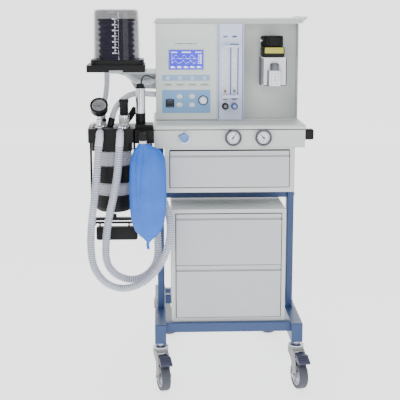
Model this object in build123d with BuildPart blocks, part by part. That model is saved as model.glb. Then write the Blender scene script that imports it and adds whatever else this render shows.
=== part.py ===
"""A trolley-mounted anesthesia machine: ventilator console on a drawer trolley, with a
bellows and a circle absorber hung on its left side. Millimetres, +Z up, floor at Z = 0.

Positions are given from the middle of the console's front: x to the right, y to the back,
z up from the floor. The helper planes below carry that point to the part's own origin,
the middle of the whole machine's footprint."""

import os
from math import cos, pi, radians, sin, tan

from build123d import *

# Driving dimensions
CART_X = 96.0            # middle of the trolley, from the origin
FRONT_Y = -262.0         # front of the console, from the origin
SHEET = 2.0              # folded steel sheet
RUN = 0.3                # gap round a piece that moves
SPINDLE_GAP = 0.06       # radial play of a spindle in its bore

WHEEL_R, WHEEL_WIDE, HUB_R, AXLE_R = 50.0, 32.0, 36.0, 5.0
TRAIL = 36.0             # from swivel axis to wheel axle
FORK_HALF, FORK_SHEET = 18.0, 3.0
FORK_TOP, STEM_TOP = 148.0, 165.0

RAIL_MID, RAIL_WIDE = 242.0, 40.0
RAIL_LOW, RAIL_HIGH, RAIL_TAIL = 165.0, 234.0, 205.0
RAIL_FRONT, RAIL_FLAT_END, RAIL_REAR = -12.0, 255.0, 614.0
COLUMN_OUT, COLUMN_IN, COLUMN_FRONT, COLUMN_BACK = 251.0, 226.0, 196.0, 246.0

CABINET_HALF, CABINET_FRONT, CABINET_BACK = 201.0, 26.0, 400.0
CABINET_LOW, CABINET_HIGH, FRAME_WIDE, FRAME_DEEP = 235.0, 642.0, 15.0, 14.0

CONSOLE_HALF, CONSOLE_BACK, CONSOLE_LOW, CONSOLE_LIP, DESK = 259.0, 430.0, 862.0, 927.0, 941.0
HOUSING_HALF, HOUSING_LOW, HOUSING_BACK = 222.0, 708.0, 380.0

TOWER_HALF, TOWER_FRONT, TOWER_TOP = 252.0, 157.0, 1280.0
TOWER_LOW, DESK_BACK = DESK - 1.0, 146.0
PANEL_FRONT, FLOW_FRONT, RECESS_BACK = 154.0, 148.0, 211.0
PANEL_RIGHT, FLOW_RIGHT = -35.0, 57.0

GAUGE_R, GAUGE_DEEP, GAUGE_Z = 28.5, 14.0, 898.0
GAUGES_X = (11.0, 114.7)
FLUSH_X, FLUSH_R, FLUSH_TRAVEL = -156.0, 16.5, 4.5

KEYS = {"key_menu_up": (-168.6, 1025.0), "key_menu_down": (-168.6, 996.0),
        "key_value_up": (-124.4, 1025.0), "key_value_down": (-124.4, 995.0)}
KEY_SIZE = (19.0, 14.0)
SWITCH = (-202.5, 1001.0)
ENCODER_X, ENCODER_Z, ENCODER_R = -84.7, 1011.0, 13.5

TUBES_X = {"oxygen": -7.5, "air": 25.0}
TUBE_LOW, TUBE_HIGH, TUBE_R, TUBE_BORE, TUBE_Y = 1031.0, 1197.0, 8.0, 5.5, 138.0
FLOW_KNOB_Z, FLOW_KNOB_R = 992.0, 12.0

VAPOR_X, VAPOR_Y, VAPOR_DIAL_R = 158.0, 163.0, 39.5

BELLOWS_X, BELLOWS_Y, BELLOWS_R = -386.0, 111.0, 64.0
BASE_LOW, BASE_HIGH, DOME_R, DOME_TOP = 1118.0, 1159.0, 80.0, 1329.0

CIRCLE_X, CIRCLE_Y, CANISTER_R = -401.0, 61.0, 66.0
HEAD_LOW, HEAD_HIGH, NECK_LOW = 884.0, 932.0, 855.0
RING_HIGH, RING_LOW, LOWER_JAR_LOW, CARRIER_LOW = 799.0, 742.0, 694.0, 637.0
POLE_X, POLE_Y = -305.5, 70.0
BAG_X, BAG_Y = -281.0, -62.0
APL_X, APL_Y = -362.0, 58.0
YOKE_LOW, YOKE_HIGH, LIFT_PIN_Z = 600.0, 610.0, 591.0

BREATHING_HOSE, LINK_HOSE, FRESH_HOSE, SIGNAL_HOSE, PORT_R = 28.0, 19.0, 20.0, 5.0, 11.0

os.makedirs("parts", exist_ok=True)


def level(z):
    """The horizontal plane at height z."""
    return Plane(origin=(CART_X, FRONT_Y, z))


def facing(y):
    """The upright plane y behind the console's front, seen from the front."""
    return Plane(origin=(CART_X, FRONT_Y + y, 0), x_dir=(1, 0, 0), z_dir=(0, -1, 0))


def beside(x):
    """The upright plane at x, seen from the right: first axis to the back."""
    return Plane(origin=(CART_X + x, FRONT_Y, 0), x_dir=(0, 1, 0), z_dir=(1, 0, 0))


def at(x, y, z):
    """A point given from the console's front, in the part's own frame."""
    return Vector(CART_X + x, FRONT_Y + y, z)


def span(x0, x1, y0, y1, radius=0.0):
    """A rectangle between two corners, in the sketch that is open."""
    with Locations(((x0 + x1) / 2, (y0 + y1) / 2)):
        if radius:
            RectangleRounded(x1 - x0, y1 - y0, radius)
        else:
            Rectangle(x1 - x0, y1 - y0)


def disc(x, y, radius, mode=Mode.ADD):
    """A circle about x, y, in the sketch that is open."""
    with Locations((x, y)):
        Circle(radius, mode=mode)


def outline(*points):
    """A closed outline of straight sides, in the sketch that is open."""
    Polygon(*points, align=None)


def write(piece, name):
    """Name a finished piece and write it."""
    piece.part.label = name
    export_step(piece.part, f"parts/{name}.step")


def write_group(pieces, name):
    """Write several separate solids as one node."""
    group = Compound([solid for piece in pieces for solid in piece.part.solids()])
    group.label = name
    export_step(group, f"parts/{name}.step")


def arc_radii(route):
    """The radius at each corner of a route: 0.45 of its shorter run over tan(half turn)."""
    runs = [b - a for a, b in zip(route, route[1:])]
    return [0.45 * min(a.length, b.length) / tan(radians(a.get_angle(b) / 2))
            for a, b in zip(runs, runs[1:])]


def hose(route, diameter, name):
    """A plain tube along a route; prints its length, radii and volume share."""
    radii = arc_radii(route)
    with BuildPart() as tube:
        with BuildLine() as path:
            FilletPolyline(*route, radius=radii)
        with BuildSketch(Plane(origin=path.line @ 0, z_dir=path.line % 0)):
            Circle(diameter / 2)
        sweep()
    length = sum(edge.length for edge in path.edges())
    full = pi * diameter**2 / 4 * length
    print(name, "length", round(length), "radii", [round(r) for r in radii],
          "volume share", round(tube.part.volume / full, 3))
    return tube


def stub(route, radius, length):
    """A port in line with a route's first run, ending face to face with the hose."""
    with BuildPart() as port:
        with BuildSketch(Plane(origin=route[0], z_dir=route[0] - route[1])):
            Circle(radius)
        extrude(amount=length)
    return port


# Routes of the hoses, from where each leaves its port. The breathing hoses hang in a loop
# from the elbows to the Y-piece.

expiratory_route = [at(*point) for point in (
    (-441, -48, 905), (-448, -57, 852), (-453, -60, 775), (-463, -60, 695), (-475, -58, 605),
    (-479, -56, 525), (-469, -56, 452), (-426, -56, 396), (-364, -55, 379), (-297, -54, 402),
    (-241, -50, 460), (-209, -42, 535), (-204, -30, 618), (-228, -20, 688), (-250, 8, 738),
    (-256, 26, 795),
)]
inspiratory_route = [at(*point) for point in (
    (-373, -48, 905), (-377, -52, 852), (-383, -46, 780), (-398, -36, 702), (-417, -28, 625),
    (-428, -22, 545), (-430, -20, 467), (-396, -20, 420), (-340, -20, 401), (-285, -20, 420),
    (-250, -15, 468), (-249, -4, 545), (-256, 14, 625), (-272, 24, 705), (-290, 32, 795),
)]
bellows_route = [at(*point) for point in (
    (-421, 111, 1112), (-421, 111, 1070), (-429, 108, 1022), (-436, 103, 985), (-437, 102, 954),
)]
fresh_route = [at(*point) for point in (
    (-258, 176, 1031), (-286, 160, 1034), (-315, 133, 1040), (-348, 110, 1034), (-376, 91, 1014),
    (-396, 75, 989), (-404, 67, 958),
)]
drive_route = [at(*point) for point in (
    (-258, 205, 1078), (-284, 204, 1070), (-312, 201, 1072), (-338, 198, 1084), (-358, 196, 1105),
)]
signal_route = [at(*point) for point in (
    (-302, 70, 1080), (-300, 78, 1096), (-289, 100, 1104), (-273, 130, 1099), (-257, 158, 1087),
)]

# ---------------------------------------------------------------- trolley frame
# Two side rails on the casters, three cross tubes between them, and two columns with a
# crossbar that carry the console.


def base_rail(side):
    """A side rail: a closed steel section, lower towards its rear end."""
    inner = side * RAIL_MID - RAIL_WIDE / 2
    with BuildPart() as rail:
        with BuildSketch(beside(inner)) as profile:
            outline((RAIL_FRONT, RAIL_LOW), (RAIL_FRONT, RAIL_HIGH), (RAIL_FLAT_END, RAIL_HIGH),
                    (RAIL_REAR, RAIL_TAIL), (RAIL_REAR, RAIL_LOW))
        extrude(amount=RAIL_WIDE)
        fillet(rail.edges().filter_by(Axis.X).group_by(Axis.Y)[0], 3)
        with BuildSketch(beside(inner + SHEET)):
            add(offset(profile.sketch_local, amount=-SHEET, mode=Mode.PRIVATE))
        extrude(amount=RAIL_WIDE - 2 * SHEET, mode=Mode.SUBTRACT)
    return rail


def cross_tube(y0, y1, z0, z1):
    """A closed tube from rail to rail."""
    half = RAIL_MID - RAIL_WIDE / 2
    with BuildPart() as tube:
        with BuildSketch(beside(-half)):
            span(y0, y1, z0, z1, 3)
        extrude(amount=2 * half)
        with BuildSketch(beside(-half + SHEET)):
            span(y0 + SHEET, y1 - SHEET, z0 + SHEET, z1 - SHEET)
        extrude(amount=2 * (half - SHEET), mode=Mode.SUBTRACT)
    return tube


def column(side):
    """An upright from the rail to the console."""
    x0, x1 = sorted((side * COLUMN_IN, side * COLUMN_OUT))
    with BuildPart() as post:
        with BuildSketch(level(RAIL_HIGH)):
            span(x0, x1, COLUMN_FRONT, COLUMN_BACK, 4)
        extrude(amount=CONSOLE_LOW - RAIL_HIGH)
        with BuildSketch(level(RAIL_HIGH + SHEET)):
            span(x0 + SHEET, x1 - SHEET, COLUMN_FRONT + SHEET, COLUMN_BACK - SHEET, 2)
        extrude(amount=CONSOLE_LOW - RAIL_HIGH - 2 * SHEET, mode=Mode.SUBTRACT)
    return post


with BuildPart() as crossbar:
    with BuildSketch(beside(-COLUMN_IN)):
        span(206, 236, 649, 671, 2)
    extrude(amount=2 * COLUMN_IN)

cross_tubes = [cross_tube(8, 38, 200, CABINET_LOW), cross_tube(360, 390, 200, CABINET_LOW),
               cross_tube(572, 602, 167, 197)]
write_group([base_rail(-1), base_rail(1), *cross_tubes], "base_frame")
write_group([column(-1), column(1), crossbar], "upright_frame")


# ---------------------------------------------------------------- casters
# Each has a swivelling fork with its stem and axle, a wheel, and on the front pair a brake
# pedal. A caster stands at x, y, with its wheel trailing towards a heading in degrees.


def along(x, y, heading):
    """The upright plane through a caster's stem and wheel: first axis towards the wheel."""
    tx, ty = cos(radians(heading)), sin(radians(heading))
    return Plane(origin=at(x, y, 0), x_dir=(tx, ty, 0), z_dir=(ty, -tx, 0))


def caster_fork(x, y, heading):
    upright = along(x, y, heading)
    with BuildPart() as fork:
        with BuildSketch(upright):
            outline(
                (-26, 118), (-26, 140), (24, 140), (40, 128), (54, 62), (52, 42), (44, 36),
                (28, 36), (20, 42), (8, 96), (-10, 112),
            )
        extrude(amount=FORK_HALF + FORK_SHEET, both=True)
        with BuildSketch(upright):
            span(-60, 90, 0, 134)
        extrude(amount=FORK_HALF, both=True, mode=Mode.SUBTRACT)
        with BuildSketch(Plane(origin=at(x, y, 138))):
            Circle(27)
        extrude(amount=FORK_TOP - 138)
        with BuildSketch(Plane(origin=at(x, y, FORK_TOP))):
            Circle(9)
        extrude(amount=STEM_TOP - FORK_TOP)
        with BuildSketch(upright):
            disc(TRAIL, WHEEL_R, AXLE_R)
        extrude(amount=FORK_HALF + FORK_SHEET + 2, both=True)
    return fork


def caster_wheel(x, y, heading):
    """A hub and the tyre on it."""
    upright = along(x, y, heading)
    with BuildPart() as hub:
        with BuildSketch(upright):
            disc(TRAIL, WHEEL_R, HUB_R - 0.05)
        extrude(amount=15, both=True)
        for face in (1, -1):
            with BuildSketch(upright.offset(15 * face)):
                disc(TRAIL, WHEEL_R, 31)
                disc(TRAIL, WHEEL_R, 13, mode=Mode.SUBTRACT)
            extrude(amount=-8 * face, mode=Mode.SUBTRACT)
        with BuildSketch(upright):
            disc(TRAIL, WHEEL_R, AXLE_R + SPINDLE_GAP)
        extrude(amount=20, both=True, mode=Mode.SUBTRACT)
    with BuildPart() as tyre:
        with BuildSketch(upright):
            disc(TRAIL, WHEEL_R, WHEEL_R)
            disc(TRAIL, WHEEL_R, HUB_R, mode=Mode.SUBTRACT)
        extrude(amount=WHEEL_WIDE / 2, both=True)
        fillet(tyre.edges().filter_by(GeomType.CIRCLE).sort_by(lambda e: e.radius)[-2:], 6)
    return [hub, tyre]


def brake_pedal(x, y, heading):
    """A tread over the wheel on an arm that pivots between the fork's cheeks."""
    upright = along(x, y, heading)
    with BuildPart() as pedal:
        with BuildSketch(upright):
            outline((52, 109), (52, 129), (60, 129), (86, 110), (88, 104), (84, 103), (62, 107))
        extrude(amount=21, both=True)
        with BuildSketch(upright):
            outline((24, 112), (24, 130), (52, 129), (52, 109))
        extrude(amount=15, both=True)
    return pedal


CASTERS = {
    "front_left": (-RAIL_MID, 8.0, -76.0), "front_right": (RAIL_MID, 8.0, -76.0),
    "rear_left": (-RAIL_MID, 592.0, 0.0), "rear_right": (RAIL_MID, 592.0, 180.0),
}
for place, (x, y, heading) in CASTERS.items():
    write(caster_fork(x, y, heading), f"caster_fork_{place}")
    write_group(caster_wheel(x, y, heading), f"caster_wheel_{place}")
    if place.startswith("front"):
        write(brake_pedal(x, y, heading), f"brake_pedal_{place[6:]}")


# ---------------------------------------------------------------- cabinets and drawers
# Carcasses of folded sheet with a framed front, and open-topped drawers with a face that
# leans back above a finger pull.


def carcass(half, y0, y1, z0, z1, opening):
    """A sheet box, open at the front inside a folded frame."""
    low, high, wide = opening
    with BuildPart() as box:
        with BuildSketch(facing(y1)):
            span(-half, half, z0, z1)
        extrude(amount=y1 - y0)
        fillet(box.edges().filter_by(Axis.Y), 4)
        with BuildSketch(facing(y1 - SHEET)):
            span(-half + SHEET, half - SHEET, z0 + SHEET, z1 - SHEET, 2)
        extrude(amount=y1 - y0 - SHEET - FRAME_DEEP, mode=Mode.SUBTRACT)
        with BuildSketch(facing(y0 + FRAME_DEEP)):
            span(-wide, wide, low, high)
        extrude(amount=FRAME_DEEP, mode=Mode.SUBTRACT)
    return box


def drawer(half, face_y, z0, z1, back):
    """A face with its finger pull, and the open box behind it."""
    face_back, pull = face_y + 18, z1 - 18
    box_half, box_low, box_high = half - 8, z0 + 6, z1 - 30
    with BuildPart() as piece:
        with BuildSketch(beside(-half)):
            outline((face_y, z0), (face_y, pull - 3), (face_y + 7, pull - 3), (face_y + 7, pull + 1),
                    (face_y + 2, pull + 4), (face_y + 2, z1), (face_back, z1), (face_back, z0))
        extrude(amount=2 * half)
        with BuildSketch(level(box_low)):
            span(-box_half, box_half, face_back, back)
        extrude(amount=box_high - box_low)
        with BuildSketch(level(box_low + SHEET)):
            span(-box_half + SHEET, box_half - SHEET, face_back, back - SHEET)
        extrude(amount=box_high - box_low, mode=Mode.SUBTRACT)
    return piece


lower_cabinet = carcass(CABINET_HALF, CABINET_FRONT, CABINET_BACK, CABINET_LOW, CABINET_HIGH,
                        (CABINET_LOW + FRAME_WIDE, CABINET_HIGH - FRAME_WIDE, 186.0))
write(lower_cabinet, "lower_cabinet")
write(drawer(184.5, 21, 443, 625.5, 380), "cabinet_drawer_upper")
write(drawer(184.5, 21, 251.5, 440.5, 380), "cabinet_drawer_lower")
write(drawer(204.5, -7, 727, 852, 360), "console_drawer")

# ---------------------------------------------------------------- console
# The desk with its rounded front lip over a closed body, and the drawer housing under it.

with BuildPart() as console:
    with BuildSketch(facing(CONSOLE_BACK)):
        span(-CONSOLE_HALF, CONSOLE_HALF, CONSOLE_LOW, CONSOLE_LIP)
    extrude(amount=CONSOLE_BACK)
    with BuildSketch(level(CONSOLE_LIP)):
        span(-CONSOLE_HALF - 2, CONSOLE_HALF + 2, -7, CONSOLE_BACK, 6)
    extrude(amount=DESK - CONSOLE_LIP)
    fillet(console.faces().sort_by(Axis.Z)[-1].edges().sort_by(Axis.Y)[0], 6)
    # the tower stands a step lower than the desk in front of it
    with BuildSketch(level(TOWER_LOW)):
        span(-CONSOLE_HALF - 2, CONSOLE_HALF + 2, DESK_BACK, CONSOLE_BACK)
    extrude(amount=DESK - TOWER_LOW, mode=Mode.SUBTRACT)
    with BuildSketch(facing(CONSOLE_BACK - SHEET)):
        span(-CONSOLE_HALF + SHEET, CONSOLE_HALF - SHEET, CONSOLE_LOW + SHEET, DESK - SHEET)
    extrude(amount=CONSOLE_BACK - 2 * SHEET, mode=Mode.SUBTRACT)
    with BuildSketch(facing(SHEET)):
        disc(FLUSH_X, GAUGE_Z, FLUSH_R - 2 + RUN)
    extrude(amount=SHEET, mode=Mode.SUBTRACT)

drawer_housing = carcass(HOUSING_HALF, -2, HOUSING_BACK, HOUSING_LOW, CONSOLE_LOW,
                         (HOUSING_LOW + 17, CONSOLE_LOW - 6, 206.0))
write_group([console, drawer_housing], "console_body")

# Oxygen flush button: a domed cap outside the front, its stem through the front sheet.
with BuildPart() as flush_button:
    with BuildSketch(facing(-FLUSH_TRAVEL - 0.5)):
        disc(FLUSH_X, GAUGE_Z, FLUSH_R)
    extrude(amount=8)
    fillet(flush_button.faces().sort_by(Axis.Y)[0].edges(), 3)
    with BuildSketch(facing(9)):
        disc(FLUSH_X, GAUGE_Z, FLUSH_R - 2)
    extrude(amount=FLUSH_TRAVEL + 9.5)
write(flush_button, "flush_button")


# ---------------------------------------------------------------- gauges
# Cases with a sunk dial; the needles turn on a spindle in the dial.


def gauge_case(plane, radius, deep):
    """A round case on a plane that faces along its normal, with a dial sunk in it."""
    with BuildPart() as case:
        with BuildSketch(plane):
            Circle(radius)
        extrude(amount=deep)
        with BuildSketch(plane.offset(deep - 8)):
            Circle(radius - 3.5)
        extrude(amount=8, mode=Mode.SUBTRACT)
    return case


def gauge_needle(plane, deep, length, angle):
    """A pointer at an angle from straight up, clockwise as seen, over the dial."""
    across = plane.x_dir * cos(radians(angle)) - plane.y_dir * sin(radians(angle))
    turned = Plane(origin=plane.origin, x_dir=across, z_dir=plane.z_dir).offset(deep - 6)
    with BuildPart() as needle:
        with BuildSketch(turned):
            outline((-1.6, -8), (1.6, -8), (0.5, length), (-0.5, length))
            Circle(3.5)
        extrude(amount=1.5)
    return needle


dial_planes = [facing(0).shift_origin(at(x, 0, GAUGE_Z)) for x in GAUGES_X]
AIRWAY_X, AIRWAY_Y, AIRWAY_Z, AIRWAY_TILT = -444.5, 12.0, 1005.0, 40.0
airway_plane = Plane(origin=at(AIRWAY_X, AIRWAY_Y, AIRWAY_Z), x_dir=(1, 0, 0),
                     z_dir=(0, -cos(radians(AIRWAY_TILT)), sin(radians(AIRWAY_TILT))))
with BuildPart() as airway_gauge:
    add(gauge_case(airway_plane.offset(-18), 31, 28).part)
    with BuildSketch(level(HEAD_HIGH)):
        disc(AIRWAY_X, 8, 11)
    extrude(amount=44)
cases = [gauge_case(plane, GAUGE_R, GAUGE_DEEP) for plane in dial_planes]
write_group([*cases, airway_gauge], "gauge_cases")
write(gauge_needle(dial_planes[0], GAUGE_DEEP, 19, 35), "gauge_needle_left")
write(gauge_needle(dial_planes[1], GAUGE_DEEP, 19, -40), "gauge_needle_right")
write(gauge_needle(airway_plane.offset(-18), 28, 21, -90), "airway_needle")

# ---------------------------------------------------------------- instrument tower
# A closed sheet shell with a recess for the vaporizer on the right, a screwed rear cover,
# and a tray on top whose right edge is turned up.

with BuildPart() as tower:
    with BuildSketch(facing(CONSOLE_BACK)):
        span(-TOWER_HALF, TOWER_HALF, TOWER_LOW, TOWER_TOP)
    extrude(amount=CONSOLE_BACK - TOWER_FRONT)
    with BuildSketch(facing(RECESS_BACK)):
        span(FLOW_RIGHT + SHEET, TOWER_HALF - SHEET, DESK + SHEET, TOWER_TOP - SHEET)
    extrude(amount=RECESS_BACK - TOWER_FRONT, mode=Mode.SUBTRACT)
    with BuildSketch(facing(CONSOLE_BACK - SHEET)):
        span(-TOWER_HALF + SHEET, TOWER_HALF - SHEET, DESK + SHEET, TOWER_TOP - SHEET)
    extrude(amount=CONSOLE_BACK - RECESS_BACK - 2 * SHEET, mode=Mode.SUBTRACT)
    with BuildSketch(facing(RECESS_BACK + SHEET)):
        span(-TOWER_HALF + SHEET, FLOW_RIGHT, DESK + SHEET, TOWER_TOP - SHEET)
    extrude(amount=RECESS_BACK - TOWER_FRONT, mode=Mode.SUBTRACT)
    with BuildSketch(facing(TOWER_FRONT + SHEET)):
        span(-TOWER_HALF + 20, PANEL_RIGHT - 20, DESK + 20, TOWER_TOP - 20)
    extrude(amount=SHEET, mode=Mode.SUBTRACT)
    add(stub(fresh_route, FRESH_HOSE / 2, 9).part)
    add(stub(drive_route, LINK_HOSE / 2, 8).part)
    add(stub(signal_route[::-1], SIGNAL_HOSE / 2, 9).part)

with BuildPart() as rear_cover:
    with BuildSketch(facing(CONSOLE_BACK + SHEET)):
        span(-236, 236, DESK + 14, TOWER_TOP - 14, 6)
    extrude(amount=SHEET)
write_group([tower, rear_cover], "instrument_cabinet")

with BuildPart() as top_tray:
    with BuildSketch(facing(440)):
        outline((-259, TOWER_TOP), (-248, TOWER_TOP + 15), (262, TOWER_TOP + 15),
                (277, TOWER_TOP + 22), (283, TOWER_TOP + 22), (262, TOWER_TOP))
    extrude(amount=294)
    with BuildSketch(beside(-260)):
        outline((145, TOWER_TOP - 1), (145, TOWER_TOP + 25), (156, TOWER_TOP + 25),
                (156, TOWER_TOP + 15), (146, TOWER_TOP - 1))
    extrude(amount=520, mode=Mode.SUBTRACT)
    with BuildSketch(level(TOWER_TOP + SHEET)):
        span(-240, 255, 162, 440 - SHEET)
    extrude(amount=15 - 2 * SHEET, mode=Mode.SUBTRACT)
write(top_tray, "top_tray")

# ---------------------------------------------------------------- ventilator panel
# A fascia with a display window, a power switch, four keys and a rotary encoder.

with BuildPart() as ventilator_panel:
    with BuildSketch(facing(TOWER_FRONT)):
        span(-TOWER_HALF + 1, PANEL_RIGHT - 1, DESK + 1, TOWER_TOP - 1)
    extrude(amount=TOWER_FRONT - PANEL_FRONT)
    with BuildSketch(facing(TOWER_FRONT)):
        span(SWITCH[0] - 12 - RUN, SWITCH[0] + 12 + RUN, SWITCH[1] - 11.5 - RUN, SWITCH[1] + 11.5 + RUN)
        disc(ENCODER_X, ENCODER_Z, 3 + SPINDLE_GAP)
        for key_x, key_z in KEYS.values():
            with Locations((key_x, key_z)):
                Ellipse(KEY_SIZE[0] / 2 + RUN, KEY_SIZE[1] / 2 + RUN)
    extrude(amount=TOWER_FRONT - PANEL_FRONT, mode=Mode.SUBTRACT)
write(ventilator_panel, "ventilator_panel")

with BuildPart() as display:
    with BuildSketch(facing(PANEL_FRONT)):
        span(-204.8, -84.4, 1120, 1187.8, 2)
    extrude(amount=1)
write(display, "display")

with BuildPart() as power_switch:
    with BuildSketch(beside(SWITCH[0] - 12)):
        outline((151, 990.5), (149, 996), (152, 1001), (151.5, 1006), (152, 1011.5),
                (164, 1007), (164, 995))
    extrude(amount=24)
write(power_switch, "power_switch")

for key_name, (key_x, key_z) in KEYS.items():
    with BuildPart() as key:
        with BuildSketch(facing(PANEL_FRONT + 5)):
            with Locations((key_x, key_z)):
                Ellipse(KEY_SIZE[0] / 2, KEY_SIZE[1] / 2)
        extrude(amount=7.5)
        fillet(key.faces().sort_by(Axis.Y)[0].edges(), 1)
    write(key, key_name)

with BuildPart() as encoder_knob:
    with BuildSketch(facing(PANEL_FRONT - 1)):
        disc(ENCODER_X, ENCODER_Z, ENCODER_R)
    extrude(amount=15)
    fillet(encoder_knob.faces().sort_by(Axis.Y)[0].edges(), 2)
    with BuildSketch(facing(PANEL_FRONT + 8)):
        disc(ENCODER_X, ENCODER_Z, 3)
    extrude(amount=9)
write(encoder_knob, "encoder_knob")

# ---------------------------------------------------------------- flowmeters
# A fascia with two end blocks that hold the glass tubes, a float in each tube, and a needle
# valve knob under each.

with BuildPart() as flowmeter_panel:
    with BuildSketch(facing(TOWER_FRONT)):
        span(PANEL_RIGHT, FLOW_RIGHT, DESK + 1, TOWER_TOP - 1, 2)
    extrude(amount=TOWER_FRONT - FLOW_FRONT)
    for block_low, block_high in ((TUBE_LOW - 11, TUBE_LOW), (TUBE_HIGH, TUBE_HIGH + 8)):
        with BuildSketch(facing(FLOW_FRONT)):
            span(TUBES_X["oxygen"] - 12, TUBES_X["air"] + 16, block_low, block_high)
        extrude(amount=FLOW_FRONT - TUBE_Y + TUBE_R + 2)
    with BuildSketch(facing(TOWER_FRONT)):
        for tube_x in TUBES_X.values():
            disc(tube_x, FLOW_KNOB_Z, 4 + SPINDLE_GAP)
    extrude(amount=TOWER_FRONT - FLOW_FRONT, mode=Mode.SUBTRACT)
write(flowmeter_panel, "flowmeter_panel")

glass_tubes = []
for gas, tube_x in TUBES_X.items():
    with BuildPart() as tube:
        with BuildSketch(level(TUBE_LOW)):
            disc(tube_x, TUBE_Y, TUBE_R)
            disc(tube_x, TUBE_Y, TUBE_BORE, mode=Mode.SUBTRACT)
        extrude(amount=TUBE_HIGH - TUBE_LOW)
    glass_tubes.append(tube)
    with BuildPart() as bobbin:
        with BuildSketch(level(TUBE_LOW + 8)):
            disc(tube_x, TUBE_Y, 4.5)
        extrude(amount=11)
        chamfer(bobbin.faces().sort_by(Axis.Z)[0].edges(), 2.5)
    write(bobbin, f"float_{gas}")
    with BuildPart() as knob:
        with BuildSketch(facing(FLOW_FRONT - 2)):
            disc(tube_x, FLOW_KNOB_Z, FLOW_KNOB_R)
        extrude(amount=26)
        fillet(knob.faces().sort_by(Axis.Y)[0].edges(), 2)
        with BuildSketch(facing(FLOW_FRONT + 7)):
            disc(tube_x, FLOW_KNOB_Z, 4)
        extrude(amount=9)
    write(knob, f"flow_knob_{gas}")
write_group(glass_tubes, "flow_tubes")

# ---------------------------------------------------------------- vaporizer
# A body on the recess's back with a filler block in front and a bore for the dial's
# spindle on top; the dial and the filler cap turn.

with BuildPart() as vaporizer_body:
    with BuildSketch(level(1063)):
        span(117, 206, 121, 205, 8)
    extrude(amount=100)
    with BuildSketch(level(1163)):
        span(121, 199, 121, 205, 10)
    extrude(amount=37)
    with BuildSketch(facing(RECESS_BACK)):
        span(125, 198, 1080, 1150)
    extrude(amount=6)
    with BuildSketch(level(1065)):
        span(142, 182.5, 88, 121, 6)
    extrude(amount=54)
    with BuildSketch(level(1190)):
        disc(VAPOR_X, VAPOR_Y, 6 + SPINDLE_GAP)
    extrude(amount=10, mode=Mode.SUBTRACT)
write(vaporizer_body, "vaporizer_body")

with BuildPart() as vaporizer_dial:
    with BuildSketch(level(1200.5)):
        disc(VAPOR_X, VAPOR_Y, VAPOR_DIAL_R)
    extrude(amount=36)
    fillet(vaporizer_dial.faces().sort_by(Axis.Z)[-1].edges(), 2)
    with BuildSketch(level(1191)):
        disc(VAPOR_X, VAPOR_Y, 6)
    extrude(amount=10)
write(vaporizer_dial, "vaporizer_dial")

with BuildPart() as filler_cap:
    with BuildSketch(level(1119.3)):
        disc(162, 104.5, 15.5)
    extrude(amount=25)
    fillet(filler_cap.faces().sort_by(Axis.Z)[-1].edges(), 3)
write(filler_cap, "vaporizer_filler_cap")

# ---------------------------------------------------------------- bellows
# A grey arm from the tower's side carries a black base, a bellows that folds down under its
# top plate, and a smoked dome over them.

with BuildPart() as bellows_arm:
    with BuildSketch(level(BASE_LOW - 6)):
        span(-425, -TOWER_HALF, 62, 240)
    extrude(amount=6)
    with BuildSketch(facing(240)):
        outline((-425, BASE_LOW - 6), (-350, 1088), (-329, 1049), (-TOWER_HALF, 1045),
                (-TOWER_HALF, BASE_LOW - 6))
    extrude(amount=4)
    with BuildSketch(facing(62)):
        span(-411, -364, BASE_LOW, BASE_LOW + 5)
    extrude(amount=3)
    add(stub(drive_route[::-1], LINK_HOSE / 2, 8).part)
write(bellows_arm, "bellows_arm")

with BuildPart() as bellows_base:
    with BuildSketch(level(BASE_LOW)):
        span(BELLOWS_X - 101, BELLOWS_X + 98, BELLOWS_Y - 80, BELLOWS_Y + 92, 10)
    extrude(amount=24)
    with BuildSketch(level(BASE_LOW + 24)):
        span(BELLOWS_X - 88, BELLOWS_X + 94, BELLOWS_Y - 72, BELLOWS_Y + 84, 30)
    extrude(amount=BASE_HIGH - BASE_LOW - 24)
    with BuildSketch(level(BASE_LOW)):
        span(-412, -363, 30, 62)
    extrude(amount=7, mode=Mode.SUBTRACT)
write(bellows_base, "bellows_base")

FOLDS, PLATE_LOW = 7, 1288.0
with BuildPart() as bellows:
    pitch = (PLATE_LOW - BASE_HIGH) / FOLDS
    for fold in range(FOLDS):
        with BuildSketch(level(BASE_HIGH + fold * pitch)):
            disc(BELLOWS_X, BELLOWS_Y, BELLOWS_R - 10)
        with BuildSketch(level(BASE_HIGH + (fold + 0.5) * pitch)):
            disc(BELLOWS_X, BELLOWS_Y, BELLOWS_R)
        with BuildSketch(level(BASE_HIGH + (fold + 1) * pitch)):
            disc(BELLOWS_X, BELLOWS_Y, BELLOWS_R - 10)
        loft(ruled=True)
write(bellows, "bellows")

with BuildPart() as bellows_plate:
    with BuildSketch(level(PLATE_LOW)):
        disc(BELLOWS_X, BELLOWS_Y, BELLOWS_R)
    extrude(amount=9)
write(bellows_plate, "bellows_plate")

with BuildPart() as dome:
    with BuildSketch(level(BASE_HIGH)):
        disc(BELLOWS_X, BELLOWS_Y, DOME_R)
    extrude(amount=DOME_TOP - BASE_HIGH, taper=1)
    fillet(dome.faces().sort_by(Axis.Z)[-1].edges(), 14)
    with BuildSketch(level(BASE_HIGH)):
        disc(BELLOWS_X, BELLOWS_Y, DOME_R - 4)
    extrude(amount=DOME_TOP - BASE_HIGH - 4, taper=1, mode=Mode.SUBTRACT)
write(dome, "bellows_dome")

# ---------------------------------------------------------------- absorber bracket
# A black block on the console's left side with the gas pole, the bag arm with its port and
# the peg that the Y-piece is parked on; the grip on the right side is its twin.

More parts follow.
